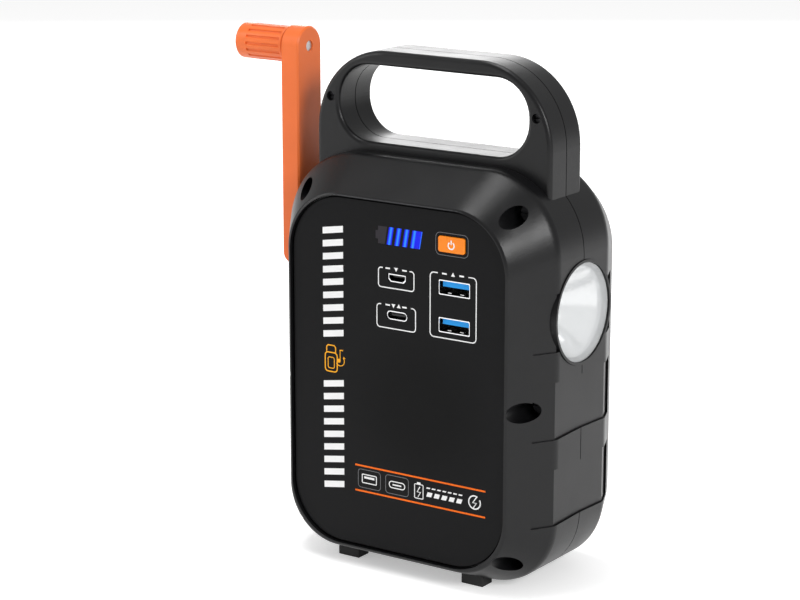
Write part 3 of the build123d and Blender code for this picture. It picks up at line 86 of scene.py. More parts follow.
class Graph:
    """Node tree of a material or the world, with the steps that it is made of."""

    def __init__(self, tree: bpy.types.NodeTree) -> None:
        """Empties the tree and keeps it."""
        tree.nodes.clear()
        self.tree = tree

    @cached_property
    def place(self) -> Socket:
        """Place on the piece, in metres."""
        return self.node("ShaderNodeTexCoord").outputs["Object"]

    def node(self, kind: str, inputs: dict[int | str, object] | None = None,
             **settings: str) -> bpy.types.Node:
        """Adds a node.

        Args:
            kind: type of the node.
            inputs: for each input, a value to write on it or a socket to join to it.
            settings: the node's own settings, written before its inputs.

        Returns:
            The node.
        """
        made = self.tree.nodes.new(kind)
        for key, value in settings.items():
            setattr(made, key, value)
        for key, value in (inputs or {}).items():
            if isinstance(value, Socket):
                self.tree.links.new(value, made.inputs[key])
            else:
                made.inputs[key].default_value = value
        return made

    def number(self, operation: str, *values: float | Socket) -> Socket:
        """Adds a step on numbers."""
        return self.node("ShaderNodeMath", dict(enumerate(values)), operation=operation).outputs[0]

    def vector(self, operation: str, result: str, *values: Triple | Socket) -> Socket:
        """Adds a step on vectors and gives its result, a "Vector" or a "Value"."""
        return self.node("ShaderNodeVectorMath", dict(enumerate(values)), operation=operation).outputs[result]

    def noise(self, size: float, layers: float, place: Socket | None = None) -> Socket:
        """Adds a noise pattern.

        Args:
            size: size of its features, in millimetres.
            layers: layers of finer noise.
            place: where to read it, or None for the place on the piece.

        Returns:
            The pattern, from 0 to 1.
        """
        place = self.place if place is None else place
        inputs = {"Scale": 1.0 / (size * MM), "Detail": layers, "Vector": place}
        return self.node("ShaderNodeTexNoise", inputs).outputs["Fac"]

    def span(self, value: Socket, start: float, end: float, low: float = 0.0, high: float = 1.0) -> Socket:
        """Maps a value so that it is low at its start and high at its end."""
        inputs = {"Value": value, "From Min": start, "From Max": end, "To Min": low, "To Max": high}
        return self.node("ShaderNodeMapRange", inputs).outputs["Result"]

    def blend(self, mask: Socket, colour: Socket, other: Rgba) -> Socket:
        """Blends a colour into another one where a mask is 1."""
        return self.node("ShaderNodeMix", {0: mask, 6: colour, 7: other}, data_type="RGBA").outputs[2]


@dataclass(frozen=True)
class PaintedDepthShade:
    """Painted shade: a darker colour further in, from a start to an end along Y. In millimetres."""

    start: float
    end: float
    colour: Triple

    def mask(self, graph: Graph) -> Socket:
        """Says how far in a place lies."""
        depth = graph.node("ShaderNodeSeparateXYZ", {"Vector": graph.place}).outputs["Y"]
        return graph.span(depth, self.start * MM, self.end * MM)


@dataclass(frozen=True)
class PaintedShadePool:
    """Painted shade: a darker round area, given by its middle and radius. In millimetres."""

    x: float
    z: float
    radius: float

    def mask(self, graph: Graph) -> Socket:
        """Says how far inside the round painted shade a place lies."""
        flat = graph.vector("MULTIPLY", "Vector", graph.place, (1.0, 0.0, 1.0))
        reach = graph.vector("DISTANCE", "Value", flat, (self.x * MM, 0.0, self.z * MM))
        return graph.span(reach, self.radius * MM, self.radius * PAINTED_SHADE_CORE * MM)


@dataclass(frozen=True)
class Streaks:
    """Brighter bands. Their pitch and the X of the first one in millimetres, their lean as X over Z."""

    pitch: float
    start: float
    lean: float

    def mask(self, graph: Graph) -> Socket:
        """Says how near to the middle of a band a place lies."""
        along = graph.vector("DOT_PRODUCT", "Value", graph.place, (1.0, 0.0, -self.lean))
        turns = 2 * math.pi / (self.pitch * MM)
        angle = graph.number("MULTIPLY_ADD", along, turns, -turns * self.start * MM)
        return graph.span(graph.number("COSINE", angle), STREAK_EDGE, 1.0)


@dataclass(frozen=True)
class Finish:
    """One finish: its colour, gloss and surface pattern. The pattern's size and relief are in millimetres."""

    name: str
    slot: str
    colour: Triple
    roughness: float
    grain: Grain
    size: float
    relief: float
    tint: float = 0.12
    smudge: float = 0.06
    metallic: float = 0.0
    specular: float = 0.5
    ior: float = 1.5
    transmission: float = 0.0
    scatter: float = 0.0
    glow: Triple | None = None
    glow_strength: float = 0.0
    painted_depth_shade: PaintedDepthShade | None = None
    painted_shade_pool: PaintedShadePool | None = None
    streaks: Streaks | None = None

    def material(self) -> bpy.types.Material:
        """Builds the material once and returns it on later calls.

        Returns:
            The node material of this finish.
        """
        known = bpy.data.materials.get(self.name)
        if known:
            return known
        made = bpy.data.materials.new(self.name)
        made.use_nodes = True
        made.diffuse_color = linear(self.colour)
        graph = Graph(made.node_tree)
        colour = self._colour(graph)
        inputs = {
            "Base Color": colour,
            "Roughness": self._roughness(graph),
            "Normal": self._relief(graph),
            "Metallic": self.metallic,
            "IOR": self.ior,
            "Specular IOR Level": self.specular,
            "Transmission Weight": self.transmission,
            "Subsurface Weight": self.scatter,
            "Subsurface Scale": SCATTER_REACH,
        }
        if self.glow is not None:
            inputs |= {"Emission Color": linear(self.glow), "Emission Strength": self.glow_strength}
        shader = graph.node("ShaderNodeBsdfPrincipled", inputs)
        if self.streaks is not None:
            graph.tree.links.new(colour, shader.inputs["Emission Color"])
        graph.node("ShaderNodeOutputMaterial", {"Surface": shader.outputs["BSDF"]})
        return made

    def _shade(self, share: float) -> Rgba:
        """Gives the finish's own colour, darker or lighter by a share."""
        red, green, blue, _ = (min(1.0, part * share) for part in linear(self.colour))
        return red, green, blue, 1.0

    def _colour(self, graph: Graph) -> Socket:
        """Lets the colour drift a little over the piece, and lays over it the painted shade further in, the
        round painted shade and the streaks.
        """
        size = CLOUD_SIZE if self.grain is Grain.CLOUDY else DRIFT_SIZE
        ramp = graph.node("ShaderNodeValToRGB", {"Fac": graph.noise(size, DRIFT_LAYERS)})
        low, high = ramp.color_ramp.elements
        low.position, high.position = NOISE_BAND
        low.color, high.color = self._shade(1 - self.tint), self._shade(1 + self.tint)
        colour = ramp.outputs["Color"]
        # painted shade further into a recess
        if self.painted_depth_shade is not None:
            colour = graph.blend(self.painted_depth_shade.mask(graph), colour, linear(self.painted_depth_shade.colour))
        # painted shade: a darker round area
        if self.painted_shade_pool is not None:
            colour = graph.blend(self.painted_shade_pool.mask(graph), colour, self._shade(PAINTED_SHADE_SHARE))
        if self.streaks is not None:
            colour = graph.blend(self.streaks.mask(graph), colour, linear(self.glow or self.colour))
        return colour

    def _roughness(self, graph: Graph) -> Socket:
        """Varies the roughness, as handling does."""
        low, high = max(SMOOTHEST, self.roughness - self.smudge), min(1.0, self.roughness + self.smudge)
        return graph.span(graph.noise(SMUDGE_SIZE, SMUDGE_LAYERS), *NOISE_BAND, low, high)

    def _relief(self, graph: Graph) -> Socket:
        """Raises the pattern of the finish from its surface."""
        if self.grain is Grain.FACETED:
            inputs = {"Scale": 1.0 / (self.size * MM), "Vector": graph.place}
            height = graph.node("ShaderNodeTexVoronoi", inputs, feature="F1").outputs["Distance"]
        elif self.grain is Grain.BRUSHED:
            inputs = {"Scale": (1.0, BRUSH_STRETCH, BRUSH_STRETCH), "Vector": graph.place}
            stretched = graph.node("ShaderNodeMapping", inputs).outputs["Vector"]
            height = graph.noise(self.size * BRUSH_STRETCH, BRUSH_LAYERS, stretched)
        else:
            height = graph.noise(self.size, GRAIN_LAYERS)
        inputs = {"Height": height, "Distance": self.relief * MM, "Strength": 1.0}
        return graph.node("ShaderNodeBump", inputs).outputs["Normal"]

    def dress(self, piece: Piece) -> None:
        """Gives a piece this finish."""
        piece.data.materials.clear()
        piece.data.materials.append(self.material())


BLACK_CASE = Finish(
    "satin_black_moulding", "black_case", colour=(0.06, 0.06, 0.065), roughness=0.34,
    grain=Grain.MOULDED, size=0.5, relief=0.03, tint=0.05, smudge=0.03, specular=0.3)
# the label carries a darker round area, painted shade
BLACK_LABEL = Finish(
    "smooth_black_label", "black_label", colour=(0.055, 0.055, 0.06), roughness=0.36,
    grain=Grain.GLOSSY, size=3.0, relief=0.002, tint=0.06, smudge=0.02, specular=0.1,
    painted_shade_pool=PaintedShadePool(x=10.0, z=63.0, radius=34.0))
# lighter grey bead around the label: a painted highlight on the shell's rim
RIM_PAINTED_HIGHLIGHT = Finish(
    "painted_highlight_edge", "black_case", colour=(0.26, 0.26, 0.27), roughness=0.22,
    grain=Grain.GLOSSY, size=3.0, relief=0.002, tint=0.2, specular=0.6)
ORANGE = Finish(
    "orange_moulding", "orange_plastic", colour=(0.9, 0.43, 0.19), roughness=0.36,
    grain=Grain.MOULDED, size=0.7, relief=0.015, tint=0.05, specular=0.35)
ORANGE_KEY = Finish(
    "orange_gloss_key", "orange_gloss", colour=(0.96, 0.52, 0.08), roughness=0.26,
    grain=Grain.GLOSSY, size=2.0, relief=0.004, tint=0.04, specular=0.3)
WHITE = Finish(
    "white_tray", "white_plastic", colour=(0.9, 0.9, 0.89), roughness=0.4,
    grain=Grain.MOULDED, size=0.6, relief=0.01, tint=0.02)
DIFFUSER = Finish(
    "lit_milky_window", "milky_diffuser", colour=(0.88, 0.88, 0.89), roughness=0.38,
    grain=Grain.CLOUDY, size=0.8, relief=0.003, tint=0.005, specular=0.3, scatter=0.1,
    glow=(1.0, 1.0, 1.0), glow_strength=0.24)
CLEAR = Finish(
    "clear_lens", "clear_lens", colour=(0.98, 0.98, 0.99), roughness=0.04,
    grain=Grain.GLOSSY, size=4.0, relief=0.004, tint=0.0, smudge=0.01, ior=1.49, transmission=1.0)
# its glow is painted light on the mirror, which is no lamp
MIRROR_PAINTED_GLOW = Finish(
    "torch_mirror", "torch_mirror", colour=(0.94, 0.95, 0.96), roughness=0.28,
    grain=Grain.FACETED, size=2.2, relief=0.45, tint=0.03, metallic=1.0,
    glow=(1.0, 1.0, 1.0), glow_strength=0.72)
BLUE_LIGHT = Finish(
    "lit_blue_bar", "blue_light", colour=(0.03, 0.07, 0.75), roughness=0.25,
    grain=Grain.GLOSSY, size=2.0, relief=0.004, tint=0.1, specular=0.2,
    glow=(0.12, 0.45, 1.0), glow_strength=0.55, streaks=Streaks(pitch=3.35, start=-24.35, lean=0.172))
GREY_TIP = Finish(
    "unlit_grey_tip", "grey_plastic", colour=(0.15, 0.135, 0.16), roughness=0.3,
    grain=Grain.CLOUDY, size=2.0, relief=0.004, tint=0.1, specular=0.2)
# the tongue turns dark further into the socket: painted shade
BLUE_TONGUE = Finish(
    "blue_tongue", "blue_plastic", colour=(0.08, 0.6, 0.92), roughness=0.35,
    grain=Grain.GLOSSY, size=1.0, relief=0.004, tint=0.05, specular=0.3,
    painted_depth_shade=PaintedDepthShade(start=-30.35, end=-29.6, colour=(0.02, 0.025, 0.03)))
DARK = Finish(
    "dark_plastic", "dark_plastic", colour=(0.05, 0.05, 0.055), roughness=0.5,
    grain=Grain.MOULDED, size=0.4, relief=0.01, tint=0.05, specular=0.2)
# the socket metal turns dark further in: painted shade
SOCKET = Finish(
    "socket_metal", "socket_metal", colour=(0.5, 0.49, 0.47), roughness=0.3,
    grain=Grain.BRUSHED, size=0.25, relief=0.003, tint=0.05, metallic=1.0,
    painted_depth_shade=PaintedDepthShade(start=-31.4, end=-30.2, colour=(0.05, 0.05, 0.055)))
STEEL = Finish(
    "steel", "steel", colour=(0.62, 0.62, 0.63), roughness=0.3,
    grain=Grain.BRUSHED, size=0.3, relief=0.006, tint=0.06, metallic=1.0)
BLACK_STEEL = replace(STEEL, name="black_steel", slot="black_steel", colour=(0.16, 0.16, 0.17),
                      roughness=0.36, tint=0.12, metallic=0.8)
BRASS = replace(STEEL, name="brass", slot="brass", colour=(0.8, 0.62, 0.3), relief=0.005)
GEAR_NYLON = Finish(
    "gear_nylon", "gear_nylon", colour=(0.88, 0.87, 0.82), roughness=0.45,
    grain=Grain.CLOUDY, size=0.8, relief=0.01, tint=0.03)
BOARD = Finish(
    "circuit_board", "circuit_board", colour=(0.05, 0.3, 0.16), roughness=0.35,
    grain=Grain.GLOSSY, size=1.2, relief=0.006, tint=0.2)
RUBBER = Finish(
    "rubber", "rubber", colour=(0.06, 0.06, 0.06), roughness=0.75,
    grain=Grain.MOULDED, size=0.35, relief=0.02, tint=0.1, specular=0.2)
LED = Finish(
    "led_yellow", "led_yellow", colour=(0.95, 0.85, 0.35), roughness=0.3,
    grain=Grain.CLOUDY, size=0.8, relief=0.01, glow=(1.0, 0.86, 0.55), glow_strength=0.9)
CELL = Finish(
    "cell_wrap", "cell_wrap", colour=(0.16, 0.45, 0.36), roughness=0.35,
    grain=Grain.GLOSSY, size=2.0, relief=0.01, tint=0.08)
WHITE_INK = Finish(
    "white_ink", "black_label", colour=(0.93, 0.93, 0.93), roughness=0.5,
    grain=Grain.MOULDED, size=0.3, relief=0.002, tint=0.03, specular=0.2)
ORANGE_INK = replace(WHITE_INK, name="orange_ink", colour=(0.95, 0.42, 0.05), tint=0.04)
AMBER_INK = replace(ORANGE_INK, name="amber_ink", colour=(0.96, 0.66, 0.12))
GREY_INK = replace(ORANGE_INK, name="grey_ink", colour=(0.42, 0.42, 0.43))
KEY_INK = replace(WHITE_INK, name="white_key_ink", slot="orange_plastic", colour=(0.96, 0.95, 0.93),
                  roughness=0.45, specular=0.5)


# ---- Bench ----


class Facing(Enum):
    """Sides of the part that a flat mark or piece can lie on."""

    FRONT = "faces -Y, drawn as seen from the front"
    REAR = "faces +Y, drawn as seen from the rear"
    LEFT = "faces -X, drawn as seen from the crank side"

    def matrix(self, depth: float) -> Matrix:
        """Turns a drawing in X and Y into its place on this side.

        Args:
            depth: how far out the drawing's plane lies, in millimetres.

        Returns:
            The matrix from the drawing to the part, in metres.
        """
        across, out = {
            Facing.FRONT: (Vector((1, 0, 0)), Vector((0, -1, 0))),
            Facing.REAR: (Vector((-1, 0, 0)), Vector((0, 1, 0))),
            Facing.LEFT: (Vector((0, -1, 0)), Vector((-1, 0, 0))),
        }[self]
        up = Vector((0, 0, 1))
        turn = Matrix((across, up, out)).transposed().to_4x4()
        return Matrix.Translation(out * depth * MM) @ turn


class Bench:
    """Adds, shapes and joins meshes with Blender's own operators."""

    @staticmethod
    def clear() -> None:
        """Leaves every object deselected and out of edit mode."""
        if bpy.context.object and bpy.context.object.mode != "OBJECT":
            Bench.close()
        bpy.ops.object.select_all(action="DESELECT")

    @staticmethod
    def pick(*pieces: Piece) -> None:
        """Selects only these pieces and makes the first one active."""
        Bench.clear()
        for piece in pieces:
            piece.select_set(True)
        bpy.context.view_layer.objects.active = pieces[0]

    @staticmethod
    def edit(piece: Piece) -> None:
        """Opens a piece in edit mode with all of it selected."""
        Bench.pick(piece)
        bpy.ops.object.mode_set(mode="EDIT")
        bpy.ops.mesh.select_all(action="SELECT")

    @staticmethod
    def close() -> None:
        """Leaves edit mode."""
        bpy.ops.object.mode_set(mode="OBJECT")

    @staticmethod
    def shift(piece: Piece, by: Triple, test: Callable[[Vector], bool]) -> None:
        """Moves the vertices that pass a test.

        Args:
            piece: mesh object.
            by: the move, in millimetres.
            test: takes a vertex's place in millimetres and says whether it moves.
        """
        Bench.edit(piece)
        bpy.ops.mesh.select_mode(type="VERT")
        bpy.ops.mesh.select_all(action="DESELECT")
        Bench.close()
        for vertex in piece.data.vertices:
            vertex.select = test(vertex.co / MM)
        bpy.ops.object.mode_set(mode="EDIT")
        bpy.ops.transform.translate(value=[part * MM for part in by])
        Bench.close()

    @staticmethod
    def settle(piece: Piece, name: str, matrix: Matrix | None = None) -> Piece:
        """Moves a piece's place into its mesh and names it.

        Args:
            piece: mesh object.
            name: the piece's new name.
            matrix: where the piece goes, after its own place.

        Returns:
            The piece, at the origin.
        """
        Bench.pick(piece)
        bpy.ops.object.transform_apply(location=True, rotation=True, scale=True)
        if matrix is not None:
            piece.data.transform(matrix)
        piece.name = name
        piece.data.name = name
        Bench.clear()
        return piece

    @staticmethod
    def join(pieces: list[Piece], name: str) -> Piece:
        """Joins pieces into one object."""
        Bench.pick(*pieces)
        if len(pieces) > 1:
            bpy.ops.object.join()
        joined = bpy.context.object
        joined.name = name
        joined.data.name = name
        Bench.clear()
        return joined

    @staticmethod
    def block(name: str, low: Triple, high: Triple, edge: float, segments: int = 2) -> Piece:
        """Makes a block with rounded edges.

        Args:
            name: the piece's name.
            low: lowest corner, in millimetres.
            high: highest corner, in millimetres.
            edge: radius of its edges, in millimetres.
            segments: steps in each rounded edge.

        Returns:
            The block.
        """
        Bench.clear()
        bpy.ops.mesh.primitive_cube_add(size=1.0, location=[(a + b) / 2 * MM for a, b in zip(low, high)])
        piece = bpy.context.object
        Bench.edit(piece)
        bpy.ops.transform.resize(value=[(b - a) * MM for a, b in zip(low, high)])
        bpy.ops.mesh.bevel(offset=edge * MM, segments=segments, profile=0.5, affect="EDGES")
        Bench.close()
        return Bench.settle(piece, name)


# ---- Flat marks ----


class Ink:
    """Draws raised marks in the plane X, Y and lays them on a side of the part. Sizes in millimetres."""

    ARC_STEP = 12
    DOUBLES = 1e-6

    def __init__(self, facing: Facing, depth: float, thickness: float = 0.05) -> None:
        """Keeps the side, the depth of its surface and the marks' thickness."""
        self.facing = facing
        self.depth = depth
        self.thickness = thickness

    def _lay(self, piece: Piece, name: str) -> Piece:
        """Puts a drawn mark on its side of the part."""
        return Bench.settle(piece, name, self.facing.matrix(self.depth))

    def _thicken(self, piece: Piece) -> None:
        """Pulls a flat face up to the mark's thickness."""
        Bench.edit(piece)
        bpy.ops.mesh.extrude_region_move(TRANSFORM_OT_translate={"value": (0, 0, self.thickness * MM)})
        bpy.ops.mesh.select_all(action="SELECT")
        bpy.ops.mesh.normals_make_consistent(inside=False)
        Bench.close()

    def bar(self, name: str, corner: Point, size: Point, lean: float = 0.0) -> Piece:
        """Makes a filled bar.

        Args:
            name: the mark's name.
            corner: its lower left corner.
            size: its width and height.
            lean: how far its top is moved to the right.

        Returns:
            The mark on the part.
        """
        Bench.clear()
        middle = ((corner[0] + size[0] / 2) * MM, (corner[1] + size[1] / 2) * MM, 0.0)
        bpy.ops.mesh.primitive_plane_add(size=1.0, location=middle)
        piece = bpy.context.object
        Bench.edit(piece)
        bpy.ops.transform.resize(value=(size[0] * MM, size[1] * MM, 1.0))
        Bench.close()
        if lean:
            Bench.shift(piece, (lean, 0, 0), lambda at: at.y > 0)
        self._thicken(piece)
        return self._lay(piece, name)

    def disc(self, name: str, centre: Point, radius: float, sides: int = 32, turn: float = 0.0) -> Piece:
        """Makes a filled disc, or a regular shape with few sides, turned by an angle in radians."""
        Bench.clear()
        place = (centre[0] * MM, centre[1] * MM, 0.0)
        bpy.ops.mesh.primitive_circle_add(
            vertices=sides, radius=radius * MM, fill_type="NGON", location=place, rotation=(0, 0, turn))
        piece = bpy.context.object
        self._thicken(piece)
        return self._lay(piece, name)

    def line(self, name: str, points: list[Point], width: float, closed: bool = False) -> Piece:
        """Makes a line of even width as a flattened round bead.

        Args:
            name: the mark's name.
            points: the line's points in the drawing, each with its height above the plane where it has one.
            width: the line's width.
            closed: whether it returns to its start.

        Returns:
            The mark on the part.
        """
        Bench.clear()
        bpy.ops.curve.primitive_bezier_curve_add(location=(0, 0, 0))
        piece = bpy.context.object
        path = piece.data
        path.splines.clear()
        spline = path.splines.new("POLY")
        spline.points.add(len(points) - 1)
        for point, at in zip(spline.points, points):
            rise = at[2] if len(at) > 2 else 0.0
            point.co = (at[0] * MM, at[1] * MM, rise * MM, 1.0)
        spline.use_cyclic_u = closed
        path.dimensions = "3D"
        path.bevel_depth = width / 2 * MM
        path.bevel_resolution = 2
        path.use_fill_caps = not closed
        Bench.pick(piece)
        bpy.ops.object.convert(target="MESH")
        piece = bpy.context.object
        piece.scale = (1.0, 1.0, 2 * self.thickness / width)
        Bench.pick(piece)
        bpy.ops.object.transform_apply(location=True, rotation=True, scale=True)
        Bench.edit(piece)
        bpy.ops.mesh.remove_doubles(threshold=self.DOUBLES)
        bpy.ops.mesh.normals_make_consistent(inside=False)
        Bench.close()
        return self._lay(piece, name)

    def frame(self, name: str, low: Point, high: Point, corner: float, width: float,
              gap: tuple[float, float] | None = None, steps: int = 5) -> Piece:
        """Makes a rounded outline.

        Args:
            name: the mark's name.
            low: lower left corner.
            high: upper right corner.
            corner: corner radius.
            width: line width.
            gap: start and end of a gap in the upper side, or None for a closed outline.
            steps: straight stretches in each corner.

        Returns:
            The mark on the part.
        """
        left, bottom, right, top = low[0] + corner, low[1] + corner, high[0] - corner, high[1] - corner
        points: list[Point] = []
        for x, y, start in ((right, top, 0), (right, bottom, -90), (left, bottom, 180), (left, top, 90)):
            for step in range(steps + 1):
                angle = math.radians(start + 90 - 90 * step / steps)
                points.append((x + corner * math.cos(angle), y + corner * math.sin(angle)))
        if gap is None:
            return self.line(name, points, width, closed=True)
        return self.line(name, [(gap[1], high[1])] + points + [(gap[0], high[1])], width)

    def arc(self, name: str, centre: Point, radius: float, start: float, end: float, width: float) -> Piece:
        """Makes part of a circle between two angles in degrees."""
        steps = max(6, int(abs(end - start) / self.ARC_STEP))
        angles = [math.radians(start + (end - start) * step / steps) for step in range(steps + 1)]
        points = [(centre[0] + radius * math.cos(a), centre[1] + radius * math.sin(a)) for a in angles]
        return self.line(name, points, width)

    def arrow(self, name: str, tip: Point, size: float, heading: float) -> Piece:
        """Makes a filled arrow head with its tip at a point, pointing along a heading in degrees."""
        turn = math.radians(heading)
        centre = (tip[0] - size * math.cos(turn), tip[1] - size * math.sin(turn))
        return self.disc(name, centre, size, sides=3, turn=turn - math.radians(90))


# ---- Studio ----


@dataclass(frozen=True)
class Lamp:
    """One soft box: its middle and size in metres, its power in watts."""

    name: str
    place: Triple
    size: tuple[float, float]
    power: float


@dataclass
class Studio:
    """Floor, lamps and camera around the part. Sizes in metres."""

    eye: Triple = (0.4836, -0.73235, 0.3132)
    target: Triple = (-0.0205, 0.0, 0.0935)
    lens: float = 111.0
    sensor: float = 36.0
    nearest: float = 0.01
    floor_level: float = -0.0012
    floor_size: float = 12.0
    floor_colour: Rgba = (0.93, 0.93, 0.93, 1.0)
    floor_roughness: float = 0.9
    floor_glow: float = 0.4
    surroundings_light: float = 0.5
    lamp_target: Triple = (0.0, 0.0, 0.09)
    lamps: tuple[Lamp, ...] = (
        Lamp("box_above", (-0.2, -0.05, 1.15), (1.0, 0.3), 6.0),
        Lamp("box_behind", (-0.8, 1.15, 0.5), (0.9, 0.45), 5.0),
        Lamp("box_torch_side", (1.05, -0.4, 0.66), (0.34, 0.34), 7.0),
        Lamp("strip_crank_side", (-1.1, -0.75, 0.55), (0.25, 1.1), 5.0),
    )

    def build(self) -> None:
        """Sets up the view, the floor, the surroundings, the lamps and the camera."""
        bpy.context.scene.view_settings.view_transform = "Standard"
        self._floor()
        self._surroundings()
        for lamp in self.lamps:
            self._hang(lamp)
        self._camera()

    def _floor(self) -> None:
        """Lays a pale floor for the shadow, with a glow for the rays that show the background."""
        Bench.clear()
        bpy.ops.mesh.primitive_plane_add(size=self.floor_size, location=(0, 0, self.floor_level))
        floor = bpy.context.object
        floor.name = "studio_floor"
        paint = bpy.data.materials.new("studio_floor_paint")
        paint.use_nodes = True
        graph = Graph(paint.node_tree)
        ray = graph.node("ShaderNodeLightPath").outputs
        seen = graph.number("MAXIMUM", ray["Is Camera Ray"], ray["Is Glossy Ray"])
        seen = graph.number("MAXIMUM", seen, ray["Is Transmission Ray"])
        shader = graph.node("ShaderNodeBsdfPrincipled", {
            "Base Color": self.floor_colour,
            "Roughness": self.floor_roughness,
            "Specular IOR Level": 0.0,
            "Emission Color": WHITE_LIGHT,
            "Emission Strength": graph.number("MULTIPLY", seen, self.floor_glow),
        })
        graph.node("ShaderNodeOutputMaterial", {"Surface": shader.outputs["BSDF"]})
        floor.data.materials.append(paint)

    def _surroundings(self) -> None:
        """Lights the part evenly and shows white behind it."""
        world = bpy.data.worlds.new("studio_surroundings")
        bpy.context.scene.world = world
        world.use_nodes = True
        graph = Graph(world.node_tree)
        mixed = {"Fac": graph.node("ShaderNodeLightPath").outputs["Is Camera Ray"]}
        for index, strength in ((1, self.surroundings_light), (2, 1.0)):
            inputs = {"Color": WHITE_LIGHT, "Strength": strength}
            mixed[index] = graph.node("ShaderNodeBackground", inputs).outputs["Background"]
        shader = graph.node("ShaderNodeMixShader", mixed).outputs["Shader"]
        graph.node("ShaderNodeOutputWorld", {"Surface": shader})

    def _hang(self, lamp: Lamp) -> None:
        """Hangs a soft box that looks at the part."""
        Bench.clear()
        bpy.ops.object.light_add(type="AREA", location=lamp.place)
        box = bpy.context.object
        box.name = lamp.name
        box.data.shape = "RECTANGLE"
        box.data.size, box.data.size_y = lamp.size
        box.data.energy = lamp.power
        self._aim(box, lamp.place, self.lamp_target)

    def _camera(self) -> None:
        """Sets the camera at the photograph's viewing angle."""
        Bench.clear()
        bpy.ops.object.camera_add(location=self.eye)
        camera = bpy.context.object
        camera.name = "front_view"
        self._aim(camera, self.eye, self.target)
        camera.data.lens = self.lens
        camera.data.sensor_width = self.sensor
        camera.data.clip_start = self.nearest
        bpy.context.scene.camera = camera

    @staticmethod
    def _aim(device: Piece, place: Triple, target: Triple) -> None:
        """Turns a lamp or camera from its place to a target."""
        aim = Vector(target) - Vector(place)
        device.rotation_euler = aim.to_track_quat("-Z", "Y").to_euler()


# ---- Sub-assemblies, all sizes in millimetres ----


class Assembly:
    """A sub-assembly: the finishes of its solids, and the pieces that it adds."""

    title = "assembly"
    finishes: tuple[tuple[Finish, tuple[str, ...]], ...] = ()

    def build(self) -> list[Piece]:
        """Dresses the solids, adds the pieces and returns them."""
        for finish, names in self.finishes:
            for name in names:
                finish.dress(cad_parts[name])
        return self.add()

    def add(self) -> list[Piece]:
        """Adds the pieces that the solids lack.

        Returns:
            The pieces, none unless a sub-assembly says so.
        """
        return []


class CaseShells(Assembly):
    """Front and rear shells, their screws and the feet."""

    title = "case shells"
    finishes = (
        (BLACK_CASE, ("front_shell", "rear_shell")),
        (BLACK_STEEL, ("case_screws", "handle_screws")),
        (RUBBER, ("rubber_feet",)),
    )


@dataclass(frozen=True)
class PortMark:
    """Printed outline of a socket, open at the top for its arrows between two dashes."""

    name: str
    low: Point
    high: Point
    corner: float
    gap: tuple[float, float]
    middle: float
    arrows: tuple[tuple[float, int], ...]  # X and heading of each


